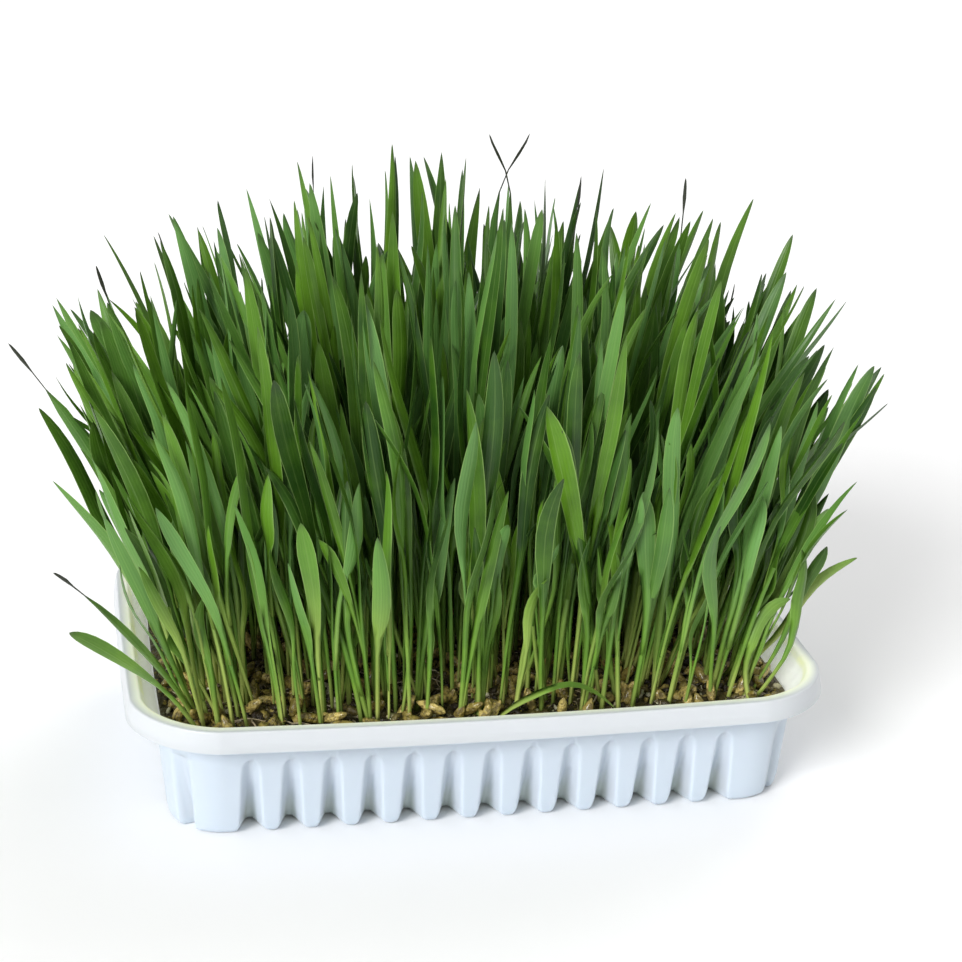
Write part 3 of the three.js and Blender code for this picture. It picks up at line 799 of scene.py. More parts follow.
crumbShape = {
    "count": 5400,
    "size": (0.8, 3.6),
    "smallness": 2.2,  # the higher, the more of them are small
    "stretch": ([0.8, 0.55, 0.35], [1.5, 1.0, 0.8]),  # least and most, along each of its axes
    "mostTilt": 0.6,
    "raised": 0.12,  # its middle above the soil, as a share of its size
    "reach": (83.4, 57.5),
    "cornerRadius": 13,
    "bow": 2.4,
    "rings": 3,
    "columns": 6,
    "lumpiness": 0.34,
}


def scatter(random, count, reach):
    # random places in a rounded rectangle with bowed long sides
    radius = crumbShape["cornerRadius"]
    shares = random.uniform(-1, 1, (2, count)).T
    bowed = reach + np.outer(1 - shares[:, 0] ** 2, [0, crumbShape["bow"]])
    spots = shares * bowed
    corner = np.maximum(np.abs(spots) - (np.array(reach) - radius), 0)
    off = np.hypot(*corner.T)
    pull = np.where(off > radius, radius / np.maximum(off, 1e-6), 1)
    return np.sign(spots) * (np.abs(spots) - corner * (1 - pull)[:, None])


def makeCrumbs():
    # lumpy ovals of random size and turn on the soil
    random = np.random.default_rng(41)
    count = crumbShape["count"]
    spots = scatter(random, count, crumbShape["reach"])
    low, high = crumbShape["size"]
    size = low + (high - low) * random.random(count) ** crumbShape["smallness"]
    centres = onSoil(spots, size * crumbShape["raised"])
    sizes = size[:, None] * random.uniform(*crumbShape["stretch"], (count, 3))
    frames = turnedFrames(random, count, crumbShape["mostTilt"])
    detail = (crumbShape["rings"], crumbShape["columns"], crumbShape["lumpiness"])
    points, faces, shape = ovals(centres, sizes, frames, *detail, random)
    tone = np.zeros((len(points), 3))
    tone[:, 0] = np.repeat(random.random(count) ** 1.3, len(shape))
    makePiece("soil_crumbs", [makeStock(points, *faces, tone=tone)], [crumbMaterial])


makeCrumbs()
print("crumbs made")

# The shares along a leaf where its sections stand: closer together towards the tip.
leafSteps = [0, 0.09, 0.18, 0.27, 0.36, 0.45, 0.54, 0.62, 0.7, 0.78, 0.85, 0.905, 0.945, 0.975, 0.991, 1]
leafSteps = np.array(leafSteps)
leafShape = {
    "fold": 0.42,  # rise of the edges over the midrib, as a share of half the width
    "foldOver": 0.22,  # share of its length over which a stem unfolds into a blade
    "thick": 0.42,
    "stemDepth": 0.8,  # of its width
    "thinning": 0.8,  # share of the thickness that is gone at the tip
    "sway": 1.6,  # sideways waver along a leaf
    "swayOver": (0.15, 0.7),
    "swayTurn": 2.2,  # half turns of the waver along a leaf
    "hook": 17.5,  # how far a tip may curl aside
    "hookOver": (0.5, 1.6),
    "bowOut": (0.5, 0.88),
    "bowBack": (0.86, 1.0),
    "ripple": 0.12,
    "rippleTurn": 9,
    "dryFrom": 0.84,  # share of its length where a withered tip starts
    "dryThread": 0.16,  # half width of the thread that leads to a withered tip
    "dryTip": 0.42,  # and of the tip's own swelling
    "drySwelling": (0.955, 0.03),  # where along the leaf that is, and how long
    "sharpFrom": 0.42,  # edges are sharp from here on
}


def curve(root, bend, tip, t):
    # the curve that starts at the root, is drawn towards the bend and ends at the tip, which is
    # (1 - t)² root + 2t (1 - t) bend + t² tip, and the way that it runs, which is its change with t
    point = (1 - t) ** 2 * root + 2 * t * (1 - t) * bend + t ** 2 * tip
    return point, unit((1 - t) * (bend - root) + t * (tip - bend))


def leafStock(plants, random):
    # leaves along their curves: each section is a diamond of two edges and the midrib's upper and lower
    # side. The width grows from the stem's along an S curve to the widest place, and from there shrinks by
    # (1 - s^blunt)^taper, for the share s of the way to the tip. Sines sway and ripple it
    count, steps = len(plants["root"]), len(leafSteps)
    ends = (plants[key][:, None] for key in ("root", "bend", "tip"))
    centre, heading = curve(*ends, leafSteps[None, :, None])
    face, twist, opens, widest, sudden, isDry = (
        plants[key][:, None] for key in ("face", "twist", "opens", "widest", "sudden", "withered")
    )
    blunt, taper, stem, width = (plants[key][:, None] for key in ("blunt", "taper", "stem", "width"))
    shape = leafShape
    t = leafSteps[None, :]
    angle = face + twist * t
    level = np.stack([np.cos(angle), np.sin(angle), np.zeros_like(angle)], -1)
    side = unit(level - heading * (level * heading).sum(-1, keepdims=True))
    back = np.cross(side, heading)
    opened = np.clip((t - opens) / (widest - opens), 0, 1)
    opened = opened + (opened ** 2 * (3 - 2 * opened) - opened) * sudden
    end = 1 - (1 - shape["dryFrom"]) * isDry
    closing = 1 - (1 - np.clip((t - widest) / (end - widest), 0, 1) ** blunt) ** taper
    half = (stem + (width - stem) * opened) / 2 * (1 - closing)
    swollenAt, swollenOver = shape["drySwelling"]
    dried = shape["dryThread"] + shape["dryTip"] * np.exp(-((t - swollenAt) / swollenOver) ** 2)
    half = np.maximum(half, dried * isDry * (t < 1) * smoothStep(t, 0.7, shape["dryFrom"]))
    isBlade = smoothStep(t, opens, opens + shape["foldOver"])
    thick = stem * shape["stemDepth"] * (1 - isBlade) + shape["thick"] * isBlade
    thick = thick * (1 - closing * shape["thinning"])
    phase = random.uniform(0, fullTurn, (count, 3, 1))
    sway = shape["sway"] * smoothStep(t, *shape["swayOver"])
    sway = sway * np.sin(shape["swayTurn"] * np.pi * t + phase[:, 0])
    centre = centre + side * sway[..., None] * 0.5 + back * sway[..., None]
    hook = smoothStep(t, *shape["hookOver"]) * shape["hook"] * plants["hook"][:, None]
    centre = centre + back * hook[..., None]
    bowed = smoothStep(t, *shape["bowOut"]) * (1 - smoothStep(t, *shape["bowBack"])) * plants["bow"][:, None]
    centre = centre + bowed[..., None] * [1, 0, 0]
    fold = half * shape["fold"] * isBlade * plants["fold"][:, None]
    ripple = shape["ripple"] * isBlade * np.sin(shape["rippleTurn"] * t + phase[:, 1])
    right = centre + side * half[..., None] - back * (fold + ripple)[..., None]
    left = centre - side * half[..., None] - back * (fold - ripple)[..., None]
    upper = centre - back * (thick / 2)[..., None]
    lower = centre + back * (thick / 2)[..., None]
    rings = np.stack([right, upper, left, lower], 2)[:, :-1]
    points = np.concatenate([rings.reshape(count, -1, 3), centre[:, -1:]], 1)
    each = points.shape[1]
    place = np.zeros((count, each, 3))
    place[:, :-1, 0] = np.tile([1, 0, -1, 0], steps - 1)
    place[:, :, 1] = np.append(np.repeat(leafSteps[:-1], 4), 1)
    place[:, :, 2] = plants["tint"][:, None]
    tone = np.repeat(np.stack([plants["width"] / 2, plants["withered"], plants["waxy"]], 1), each, axis=0)
    isEdge = np.append(np.tile([True, False, True, False], steps - 1), True)
    rim = isEdge[None] & (place[:, :, 1] > shape["sharpFrom"])
    quads = np.concatenate([gridFaces(steps - 1, 4), [[3, 2, 1, 0]]])
    tris = poleFaces(each - 1, np.arange(4) + (steps - 2) * 4, True)
    faces = copiedFaces((quads, tris), count, each)
    return makeStock(points.reshape(-1, 3), *faces, 0, place.reshape(-1, 3), tone, rim.ravel())


bedShape = {
    "cells": (7, 4),
    "half": (82, 55.5),
    "bladesAbove": 29.6,  # roots and grains of the solids end below this level
    "rootLevel": 25,
    "reach": (81, 57),
    "slope": (0.3, 0.13),
    "slack": (0, 8),  # how far short of the reach a leaf may stop
    "slackShare": (1, 0.7),
}
solidShape = {
    "shares": np.array([[0.4], [0.7]]),  # along a blade's curve, where its solid has a section
    "apart": 0.3,
    "weights": np.array([[0.36, 0.48, 0.16], [0.09, 0.42, 0.49]]),  # of root, bend and tip there
    "width": 0.9,  # of the upper section's, drawn here
    "mostTwist": 1.2,
}


def curvesOf(node):
    # the tip and the two sections of each blade of a clump's solid. A blade's tip is a point with exactly
    # three faces, the three points next to it are its upper section, and the three after them its lower
    # section. Each section is two edges and a keel
    mesh = node.data
    corners = np.empty(len(mesh.vertices) * 3, np.float32)
    mesh.vertices.foreach_get("co", corners)
    faces = np.empty(len(mesh.loops), np.int32)
    mesh.loops.foreach_get("vertex_index", faces)
    rounded = np.round(corners.reshape(-1, 3) / mm, 3)
    points, merged = np.unique(rounded, axis=0, return_inverse=True)
    faces = merged.reshape(-1)[faces].reshape(-1, 3)
    uses = np.bincount(faces.ravel(), minlength=len(points))
    known = (uses == 3) & (points[:, 2] > bedShape["bladesAbove"])
    tips = np.flatnonzero(known)
    owner = np.full(len(points), -1)
    owner[tips] = np.arange(len(tips))
    sections = []
    for _ in range(2):
        # the faces that touch the points found so far tell which new points stand next to them
        faceOwner = owner[faces].max(1)
        touching = (faceOwner >= 0) & ~known[faces].all(1)
        new = ~known[faces] & touching[:, None]
        owners = np.repeat(faceOwner[:, None], 3, 1)[new]
        found = np.unique(np.stack([owners, faces[new]], 1), axis=0)
        owner[found[:, 1]] = found[:, 0]
        known[found[:, 1]] = True
        sections.append(points[found[:, 1]].reshape(-1, 3, 3))
    return points[tips], *sections


def sectionParts(section):
    # the middle, width and keel's way of a three-cornered section, whose longest side joins its two edges
    sides = [section[:, (corner + 1) % 3] - section[:, (corner + 2) % 3] for corner in range(3)]
    keel = np.stack([np.linalg.norm(side, axis=1) for side in sides], 1).argmax(1)
    rows = np.arange(len(section))
    one, other = section[rows, (keel + 1) % 3], section[rows, (keel + 2) % 3]
    middle = (one + other) / 2
    return middle, np.linalg.norm(one - other, axis=1), unit(section[rows, keel] - middle)


def plantsOf(node):
    # the curve through the sections: their two middle points and the tip give the root and the bend, by the
    # inverse of the weights. The way that the keels face gives the turn and the twist
    tip, upper, lower = curvesOf(node)
    upperMiddle, width, upperBack = sectionParts(upper)
    lowerMiddle, _, lowerBack = sectionParts(lower)
    weights = solidShape["weights"]
    lowerRest = lowerMiddle - weights[0, 2] * tip
    upperRest = upperMiddle - weights[1, 2] * tip
    solved = np.linalg.inv(weights[:, :2])
    root, bend = (one * lowerRest + other * upperRest for one, other in solved)
    angles = []
    for share, back in zip(solidShape["shares"], (lowerBack, upperBack)):
        heading = curve(root, bend, tip, share)[1]
        side = np.cross(heading, back)
        climb = np.where(np.abs(heading[:, 2:]) < 0.05, 0.05, heading[:, 2:])
        level = side - heading * (side[:, 2:] / climb)
        angles.append(np.arctan2(level[:, 1], level[:, 0]))
    turn = np.mod(angles[1] - angles[0] + quarterTurn, np.pi) - quarterTurn
    most = solidShape["mostTwist"]
    twist = np.clip(turn / solidShape["apart"], -most, most)
    return {
        "root": root,
        "bend": bend,
        "tip": tip,
        "width": width * solidShape["width"],
        "face": angles[0] - solidShape["shares"][0] * twist,
        "twist": twist,
    }


dressShape = {
    "paintedLightX": (45, 105),  # painted light: tips this far to the left, towards the key light, are painted lighter
    "paintedLightGain": 0.45,
    "fold": (0.5, 1.4),
    "spoonShare": 0.5,  # of the leaves, which open late and suddenly
    "spoonOpens": (0.26, 0.46),
    "opens": (-0.05, 0.3),
    "spoonRun": (0.18, 0.32),  # from where a spoon opens to where it is widest
    "widest": (0.62, 0.84),
    "leastBlunt": 1.8,
    "bluntGain": (2.6, 1.1),  # of leaves above bluntAbove and of those below
    "bluntAbove": 100,
    "sharpShare": 0.04,  # of the leaves, whose tips are drawn out
    "sharpTaper": 1.1,
    "taper": (0.7, 0.92),
    "broad": 4.6,  # a leaf wider than this curls less
    "broadHook": 0.3,
    "bentBelow": 45,
    "bentSag": (7, 3.5),  # of a bent blade's bend and of its tip
    "narrowing": (0.66, 0.96),
    "frontNarrowing": 0.6,
    "frontOf": -45,
    "frontAbove": 60,
    "mostWidth": 6.2,
    "shortBelow": 85,
    "shortWidth": (3, 4.8),
    "stem": (0.95, 1.6),
    "stemShare": 0.5,
    "driedAbove": 125,
    "driedShare": 0.03,
    "driedWidth": 3.6,
    "near": 3,  # a tip with a look of its own is known by its place, give or take this
    "nearSlender": 5,
}
# Tips of the solids' blades that stand out as withered.
driedTips = [
    [-37, 20, 163],
    [10, 20, 169],
    [21, 25, 168],
    [35, 20, 157],
    [66, 20, 156],
    [-121, 0, 118],
    [-96, 10, 136],
    [-111, -72, 82],
]
# Tips of those that have a look of their own, then the width, the shares where the blade opens and is
# widest, how blunt its tip is, how far its middle sags, and its tint.
slenderTips = [
    [-111, -72, 82, 2.6, 0.3, 0.6, 2, 1, 0.4],
    [-107, -74, 66, 4.3, 0.45, 0.84, 3.2, 7, 0.4],
    [81, -53, 72, 3.6, 0.25, 0.6, 2, 0, 0.4],
    [-20, 10, 168, 4.3, 0.1, 0.6, 1.5, 0, 0.75],
    [83, 10, 152, 4.1, 0.1, 0.6, 1.5, 0, 0.6],
]
slenderLooks = {"hook": 0, "taper": 0.7, "waxy": 0}
# Tips whose dried threads cross just below them, and how far each is bowed along x to do so.
crossedTips = [
    [10, 20, 169, 4.3],
    [21, 25, 168, -4.3],
]
bentBlade = {
    "width": 4.2,
    "opens": -0.2,
    "widest": 0.5,
    "blunt": 2,
    "twist": 0,
    "face": 1.45,
    "fold": 0.3,
    "hook": 0,
}


def change(plants, isChosen, looks):
    for key, value in looks.items():
        plants[key] = np.where(isChosen, value, plants[key])


def isNear(plants, place, reach="near"):
    return np.linalg.norm(plants["tip"] - np.array(place), axis=1) < dressShape[reach]


def dress(plants, random):
    # the looks that the solids don't tell: colour, fold, shape and how withered each tip is
    count = len(plants["root"])
    shape = dressShape
    tipX, tipY, tipZ = plants["tip"].T

    def drawn(key):
        return random.uniform(*shape[key], count)

    # painted light: leaves towards the left, where the light comes from, get a higher tint and so a lighter,
    # fresher green
    nearPaintedLight = smoothStep(-tipX, *shape["paintedLightX"])
    plants["tint"] = np.clip(random.random(count) ** 1.4 + shape["paintedLightGain"] * nearPaintedLight, 0, 1)
    plants["waxy"] = random.random(count) ** 3
    plants["fold"] = drawn("fold")
    isSpoon = random.random(count) < shape["spoonShare"]
    plants["opens"] = np.where(isSpoon, drawn("spoonOpens"), drawn("opens"))
    spoonWidest = plants["opens"] + drawn("spoonRun")
    plants["widest"] = np.where(isSpoon, spoonWidest, drawn("widest"))
    bluntGain = np.where(tipZ > shape["bluntAbove"], *shape["bluntGain"])
    plants["blunt"] = shape["leastBlunt"] + random.random(count) * bluntGain
    isSharp = random.random(count) < shape["sharpShare"]
    plants["taper"] = np.where(isSharp, shape["sharpTaper"], drawn("taper"))
    plants["sudden"] = random.random(count)
    calm = np.where(plants["width"] > shape["broad"], shape["broadHook"], 1)
    plants["hook"] = random.uniform(-1, 1, count) ** 3 * calm
    isBent = tipZ < shape["bentBelow"]
    for key, sag in zip(("bend", "tip"), shape["bentSag"]):
        plants[key] = plants[key] - np.outer(isBent, [0, 0, sag])
    isFront = (tipY < shape["frontOf"]) & (tipZ > shape["frontAbove"])
    least, most = shape["narrowing"]
    narrowing = random.uniform(np.where(isFront, shape["frontNarrowing"], least), most)
    plants["width"] = np.minimum(plants["width"] * narrowing, shape["mostWidth"])
    shortWidth = np.minimum(plants["width"], drawn("shortWidth"))
    change(plants, tipZ < shape["shortBelow"], {"width": shortWidth})
    for x, y, z, width, opens, widest, blunt, sag, tint in slenderTips:
        isChosen = isNear(plants, (x, y, z), "nearSlender")
        looks = {"width": width, "opens": opens, "widest": widest, "blunt": blunt, "tint": tint}
        change(plants, isChosen, looks | slenderLooks)
        plants["bend"] = plants["bend"] - np.outer(isChosen, [0, 0, sag])
    change(plants, isBent, bentBlade)
    plants["stem"] = np.minimum(drawn("stem"), plants["width"] * shape["stemShare"])
    isDried = (tipZ > shape["driedAbove"]) & (tipY > 0) & (random.random(count) < shape["driedShare"])
    for place in driedTips:
        isDried |= isNear(plants, place)
    plants["withered"] = isDried.astype(float)
    change(plants, isDried, {"width": np.minimum(plants["width"], shape["driedWidth"]), "hook": 0})
    plants["bow"] = np.zeros(count)
    for x, y, z, bow in crossedTips:
        change(plants, isNear(plants, (x, y, z)), {"bow": bow})
    return plants


def facing(count, random):
    # the way each leaf's width lies: any way, but more of them turn their broad side to the window
    turn = random.uniform(-1, 1, count)
    return np.sign(turn) * np.abs(turn) ** 1.7 * np.pi / 2


fillShape = {
    "cells": (37, 23),
    "share": (0.1, 1.0),  # of the cells that hold a plant, at the front and at the back
    "jitter": (0.1, 0.9),
    "cornerFrom": (0.85, 0.8),  # the bed's corners are rounded beyond these shares of its length and depth
    "gapMiddle": 0.22,  # none stands before the bent blade
    "gapHalf": 0.16,
    "gapBefore": -0.86,
    "reach": (79.5, 53.5),
    "bow": 0.04,
    "width": (3.3, 5.3),
    "widthGain": 0.94,
    "endGain": 0.3,  # how much wider the leaves are at the bed's two ends
    "middleReach": 141,
    "endLoss": 0.28,
    "frontLoss": 0.36,
    "shortest": 0.45,
    "longest": 0.92,
    "fullShare": 0.1,  # of the plants, which are nearly as long as the solids' blades
    "fullLength": (0.9, 1),
    "spread": (0.4, 0.38),
    "leftLean": 6.5,  # the bed leans a little to its left end
    "wander": 17,
    "bendOut": 0.42,
    "bendUp": (0.5, 0.62),
    "startLean": 12,
    "twist": (-0.9, 0.9),
}


def fillPlants(random):
    # the thinner plants between the solids' own, one to a cell of a jittered grid, by the bed's rule: the
    # further a plant stands from the middle, the more it leans out and the shorter it is, by the square of
    # its share of the bed's length and the fourth power of that of its depth
    shape = fillShape
    columns, rows = shape["cells"]
    cells = np.stack(np.meshgrid(np.arange(columns), np.arange(rows)), -1)
    low, high = shape["share"]
    cells = cells[random.random((rows, columns)) < low + (high - low) * cells[..., 1] / rows]
    shares = (cells + random.uniform(*shape["jitter"], (2, len(cells))).T) / shape["cells"] * 2 - 1
    start = np.array(shape["cornerFrom"])
    corner = np.maximum(np.abs(shares) - start, 0) / (1 - start)
    keep = np.abs(shares[:, 0] - shape["gapMiddle"]) > shape["gapHalf"]
    keep = (keep | (shares[:, 1] > shape["gapBefore"])) & (np.hypot(*corner.T) < 1)
    flat = shares[keep] * shape["reach"]
    shareX, shareY = shares[keep].T
    flat[:, 1] *= 1 + shape["bow"] * (1 - shareX ** 2)
    count = len(flat)
    loss = shape["endLoss"] * shareX ** 2 + shape["frontLoss"] * shareY ** 4
    full = shape["middleReach"] * (1 - loss)
    length = shape["shortest"] + (shape["longest"] - shape["shortest"]) * random.random(count) ** 0.6
    isFull = random.random(count) < shape["fullShare"]
    length = np.where(isFull, full * random.uniform(*shape["fullLength"], count), full * length)
    lean = flat * shape["spread"] - np.outer(1 - shareX, [shape["leftLean"], 0])
    lean = lean + random.uniform(-1, 1, (count, 2)) * shape["wander"]
    lean = lean * (length / shape["middleReach"] + 0.15)[:, None]
    rise = np.sqrt(length ** 2 - (lean ** 2).sum(1))
    root = np.column_stack([flat, np.full(count, bedShape["rootLevel"])])
    bendRise = rise * random.uniform(*shape["bendUp"], count)
    bend = root + np.column_stack([lean * shape["bendOut"], bendRise])
    bend[:, :2] += random.uniform(-1, 1, (count, 2)) * shape["startLean"]
    gain = shape["widthGain"] + shape["endGain"] * shareX ** 2
    return {
        "root": root,
        "bend": bend,
        "tip": root + np.column_stack([lean, rise]),
        "width": random.uniform(*shape["width"], count) * gain,
        "face": facing(count, random),
        "twist": random.uniform(*shape["twist"], count),
    }


secondShape = {
    "above": 86,  # shorter plants and bent ones have one leaf
    "parting": (0.12, 0.36),
    "lowShare": 0.18,  # of these leaves, which part from the first near its root
    "lowParting": 0.03,
    "reach": (0.36, 0.95),
    "off": (0.06, 0.22),
    "overlap": 2,  # it starts this far inside the first
    "gather": [0.95, 0.95, 1],  # its tip is drawn in to the bed's middle by this
    "width": (0.55, 0.95),
    "widthLimits": (3.0, 5.6),
}


def secondLeaves(plants, random, share):
    # another leaf for this share of the plants: it parts from the first on its curve, and stands off to one
    # side by a share of its own reach
    shape = secondShape
    chosen = random.random(len(plants["root"])) < share
    chosen &= plants["tip"][:, 2] > shape["above"]
    root, bend, tip, width = (plants[key][chosen] for key in ("root", "bend", "tip", "width"))
    count = len(root)
    parting = random.uniform(*shape["parting"], count)[:, None]
    parting = np.where(random.random((count, 1)) < shape["lowShare"], shape["lowParting"], parting)
    start, heading = curve(root, bend, tip, parting)
    reach = np.linalg.norm(tip - start, axis=1) * random.uniform(*shape["reach"], count)
    away = random.uniform(0, fullTurn, count)
    sideways = np.stack([np.cos(away), np.sin(away), np.zeros(count)], 1)
    off = (reach * random.uniform(*shape["off"], count))[:, None] * sideways
    return {
        "root": start - heading * shape["overlap"],
        "bend": start + heading * (reach * 0.5)[:, None] + off * 0.25,
        "tip": (start + unit(tip - start) * reach[:, None] + off) * shape["gather"],
        "width": np.clip(width * random.uniform(*shape["width"], count), *shape["widthLimits"]),
        "face": facing(count, random),
        "twist": random.uniform(*fillShape["twist"], count),
    }


def choose(plants, mask):
    return {key: value[mask] for key, value in plants.items()}


def merge(sets):
    return {key: np.concatenate([plants[key] for plants in sets]) for key in sets[0]}


def cellOf(points):
    # the column and row of the bed's grid that each point stands in
    cells = np.floor((points[:, :2] / bedShape["half"] + 1) / 2 * bedShape["cells"])
    return np.clip(cells, 0, np.array(bedShape["cells"]) - 1)


def holdUpright(plants, random):
    # the bed's ends and sides are steep: a leaf that would lean out past them is drawn back
    for key in ("bend", "tip"):
        height = plants[key][:, 2:] - bedShape["rootLevel"]
        slack = random.uniform(*bedShape["slack"], (len(height), 1))
        limit = height * bedShape["slope"] + bedShape["reach"] - slack * bedShape["slackShare"]
        plants[key][:, :2] = np.clip(plants[key][:, :2], -limit, limit)
    return plants


def holdInBox(plants):
    # a tip that would pass the solids' box is drawn back to it
    low, high = np.array(cadBounds) / mm
    plants["tip"] = np.clip(plants["tip"], low + 1, high - 0.5)
    return plants


grainShape = {
    "perClump": 14,
    "length": (7, 9.8),
    "width": (2.8, 3.8),
    "height": (2.4, 3.2),
    "raised": (0.6, 3.0),  # its middle above the soil
    "reach": (80.5, 54.5),
    "mostTilt": 1.3,
    "crease": 0.3,
    "creaseHalf": 0.5,  # radians round the grain
    "rings": 6,
    "columns": 8,
    "lumpiness": 0.06,
    "taper": 1.35,
}


def grainStock(cell, random):
    # grains in one cell of the bed's grid, half sunk in the soil: ovals with tapered ends and a crease drawn
    # along the belly, which falls off as a bell curve round the grain and as 1 - s² along it
    count = grainShape["perClump"]
    half = np.array(bedShape["half"])
    middle = ((np.array(cell) + 0.5) / bedShape["cells"] * 2 - 1) * half
    spots = middle + random.uniform(-1, 1, (2, count)).T * half / bedShape["cells"]
    reach = np.array(grainShape["reach"])
    sizes = np.stack([random.uniform(*grainShape[key], count) for key in ("length", "width", "height")], 1)
    centres = onSoil(np.clip(spots, -reach, reach), random.uniform(*grainShape["raised"], count))
    frames = turnedFrames(random, count, grainShape["mostTilt"])
    detail = (grainShape["rings"], grainShape["columns"], grainShape["lumpiness"])
    points, faces, shape = ovals(centres, sizes, frames, *detail, random, grainShape["taper"])
    around = np.arctan2(shape[:, 2], shape[:, 1])
    isBelly = np.exp(-(np.abs(around) / grainShape["creaseHalf"]) ** 2) * (1 - shape[:, 0] ** 2)
    points = points.reshape(count, -1, 3) - centres[:, None]
    points = centres[:, None] + points * (1 - grainShape["crease"] * isBelly)[None, :, None]
    place = np.zeros(points.shape)
    place[:, :, 0] = isBelly[None]
    place[:, :, 1] = shape[None, :, 0]
    place[:, :, 2] = random.random(count)[:, None]
    return makeStock(points.reshape(-1, 3), *faces, 1, place.reshape(-1, 3))


clumpShape = {
    "secondShare": 0.9,
    "thirdShare": 0.45,
}


def makeClumps():
    # each clump's piece: the solid's own blades drawn finely, second and third leaves, the thin plants of
    # its cell, and the sprouted grains between them
    random = np.random.default_rng(51)
    grainRandom = np.random.default_rng(52)
    fill = fillPlants(random)
    fillCells = cellOf(fill["root"])
    columns, rows = bedShape["cells"]
    total = 0
    for row in range(rows):
        for column in range(columns):
            place = f"{row + 1}_{column + 1}"
            main = plantsOf(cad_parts[f"clump_{place}"])
            near = choose(fill, (fillCells == (column, row)).all(1))
            seconds = secondLeaves(merge([main, near]), random, clumpShape["secondShare"])
            thirds = secondLeaves(merge([main, near]), random, clumpShape["thirdShare"])
            thin = holdUpright(merge([seconds, thirds, near]), random)
            plants = holdInBox(dress(merge([main, thin]), random))
            total += len(plants["root"])
            stocks = [leafStock(plants, random), grainStock((column, row), grainRandom)]
            materials = [leafMaterial, grainMaterial]
            makePiece(f"grass_{place}", stocks, materials, [f"clump_{place}"])
    print("leaves:", total)


rootShape = {
    "count": 420,
    "inset": 3,  # from the grains' reach
    "length": (6, 20),
    "width": (0.22, 0.5),
    "steps": 8,
    "corners": 3,
    "mostTurn": 1.2,
    "lift": (0.2, 1.5),
    "sunk": 0.25,
}


def makeRoots():
    # fine roots that run over the soil: three-sided threads along a wavering line. Each is lifted by the
    # cosine of its share along, less a little, so that both ends are sunk
    random = np.random.default_rng(61)
    shape = rootShape
    count, steps, corners = shape["count"], shape["steps"], shape["corners"]
    spots = scatter(random, count, np.array(grainShape["reach"]) - shape["inset"])
    heading = random.uniform(0, fullTurn, count)[:, None]
    length = random.uniform(*shape["length"], count)[:, None]
    t = np.linspace(-0.5, 0.5, steps)[None]
    turn = heading + random.uniform(-shape["mostTurn"], shape["mostTurn"], (count, 1)) * t
    run = (length * t)[..., None] * np.stack([np.cos(turn), np.sin(turn)], -1)
    limit = np.array(crumbShape["reach"])
    lift = random.uniform(*shape["lift"], (count, 1)) * np.cos(np.pi * t) - shape["sunk"]
    spine = onSoil(np.clip(spots[:, None] + run, -limit, limit), lift)
    radius = random.uniform(*shape["width"], count)[:, None, None, None] / 2
    around = (np.arange(corners) * 2 * np.pi / corners)[None, None, :, None]
    across = np.stack([-np.sin(turn), np.cos(turn), np.zeros_like(turn)], -1)[:, :, None, :]
    points = spine[:, :, None] + (across * np.cos(around) + np.array([0, 0, 1.0]) * np.sin(around)) * radius
    each = steps * corners
    ends = np.array([[0, 2, 1], [each - 3, each - 2, each - 1]])
    faces = copiedFaces((gridFaces(steps, corners), ends), count, each)
    makePiece("root_threads", [makeStock(points.reshape(-1, 3), *faces)], [rootMaterial])


makeClumps()
makeRoots()
print("grass made")

floorLook = {
    "first": rgb(0.94, 0.94, 0.94),
    "second": rgb(0.95, 0.95, 0.95),
    "clouds": 400,
    "roughness": 0.9,
    "gloss": 0.1,
}
studio = {
    "floorSize": 40000,
    "sideSky": rgb(0.28, 0.28, 0.28),
    "topSky": rgb(0.8, 0.8, 0.8),
    "seenSky": rgb(1, 1, 1),
}
suns = {
    "key": {"place": (-960, -1010, 710), "spread": 26, "strength": 2.9},  # spreads are in degrees
    "back": {"place": (500, 700, 1000), "spread": 30, "strength": 0.75},
}
cameraView = {
    "place": (-109.39, -564.03, 278.07),
    "aim": (-2.05, -42.09, 90.23),
    "rollDegrees": 1.841,
    "lens": 82.09,
    "sensor": 36,
}


def addObject(name, data, place=(0, 0, 0), turn=None):
    # place is in millimetres
    added = bpy.data.objects.new(name, data)
    if turn is not None:
        added.matrix_world = Matrix.Translation(Vector(place) * mm) @ turn
    bpy.context.scene.collection.objects.link(added)
    return added


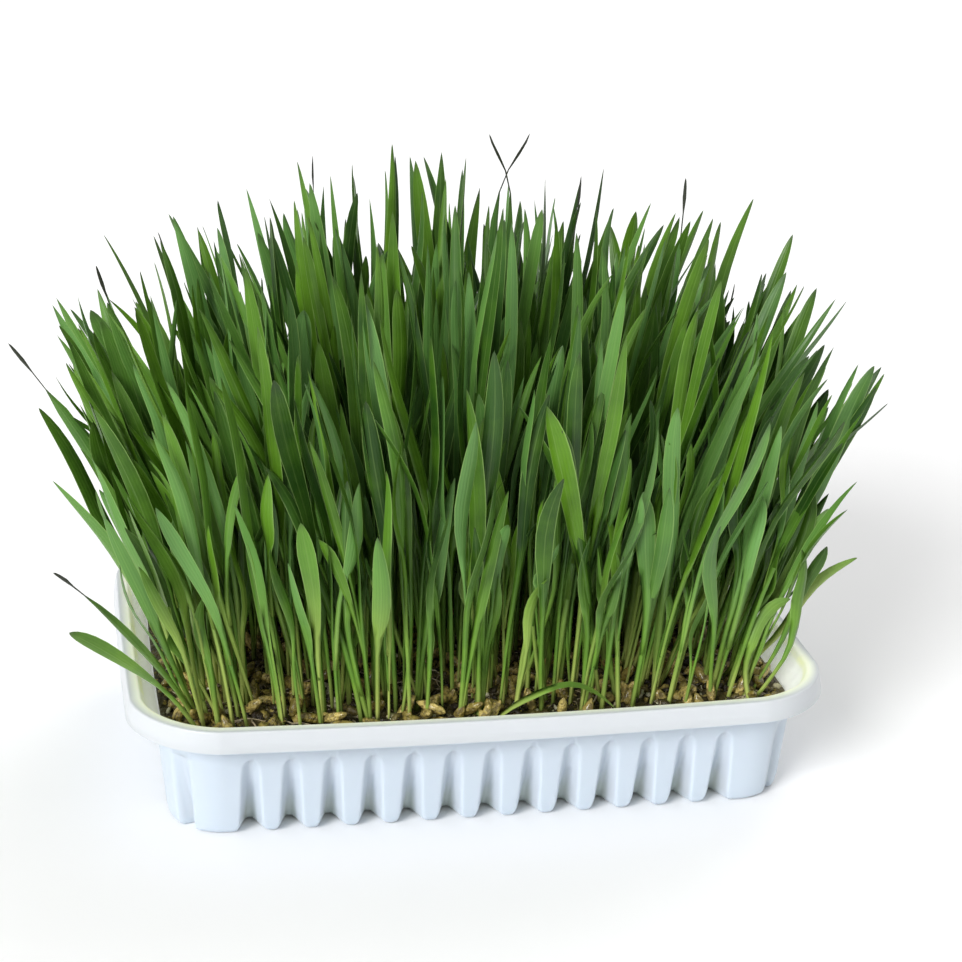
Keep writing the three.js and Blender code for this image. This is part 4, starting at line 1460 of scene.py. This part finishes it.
def aimed(place, target):
    # the turn that points an object's -Z from one point at another, with its +Y up
    return (Vector(target) - Vector(place)).to_track_quat("-Z", "Y").to_matrix().to_4x4()


def addSun(name, sun):
    lamp = bpy.data.lights.new(name, "SUN")
    lamp.angle = math.radians(sun["spread"])
    lamp.energy = sun["strength"]
    addObject(name, lamp, sun["place"], aimed(sun["place"], (0, 0, 0)))


def makeSky():
    # a sky that brightens from the horizon to the top by its rise, and is white where the camera sees it
    world = bpy.data.worlds.new("studio")
    world.use_nodes = True
    tree = world.node_tree
    rise = calculate(tree, "MAXIMUM", xyz(tree, addNode(tree, "ShaderNodeTexCoord").outputs["Generated"])[2])
    isSeen = addNode(tree, "ShaderNodeLightPath").outputs["Is Camera Ray"]
    sky = layered(tree, studio["sideSky"], (rise, studio["topSky"]), (isSeen, studio["seenSky"]))
    feed(tree, tree.nodes["Background"], {0: sky})
    bpy.context.scene.world = world


def makeFloorMaterial():
    # two near whites in clouds
    material, tree, shader, spot = newMaterial("paleFloor")
    clouds = mottled(tree, spot, floorLook["clouds"])
    colour = layered(tree, floorLook["first"], (clouds, floorLook["second"]))
    settings = {"Roughness": floorLook["roughness"], "Specular IOR Level": floorLook["gloss"]}
    feed(tree, shader, {"Base Color": colour, **settings})
    return material


def makeStudio():
    half = studio["floorSize"] / 2 * mm
    mesh = bpy.data.meshes.new("floor")
    corners = [(-half, -half, 0), (half, -half, 0), (half, half, 0), (-half, half, 0)]
    mesh.from_pydata(corners, [], [(0, 1, 2, 3)])
    mesh.materials.append(makeFloorMaterial())
    floor = addObject("floor", mesh)
    makeSky()
    for name, sun in suns.items():
        addSun(name, sun)
    bpy.context.scene.view_settings.view_transform = "Standard"


def makeCamera():
    camera = bpy.data.cameras.new("camera")
    camera.lens = cameraView["lens"]
    camera.sensor_width = cameraView["sensor"]
    roll = Matrix.Rotation(math.radians(cameraView["rollDegrees"]), 4, "Z")
    turn = aimed(cameraView["place"], cameraView["aim"]) @ roll
    holder = addObject("camera", camera, cameraView["place"], turn)
    bpy.context.scene.camera = holder


makeStudio()
makeCamera()
print("size, CAD:", cadBounds)
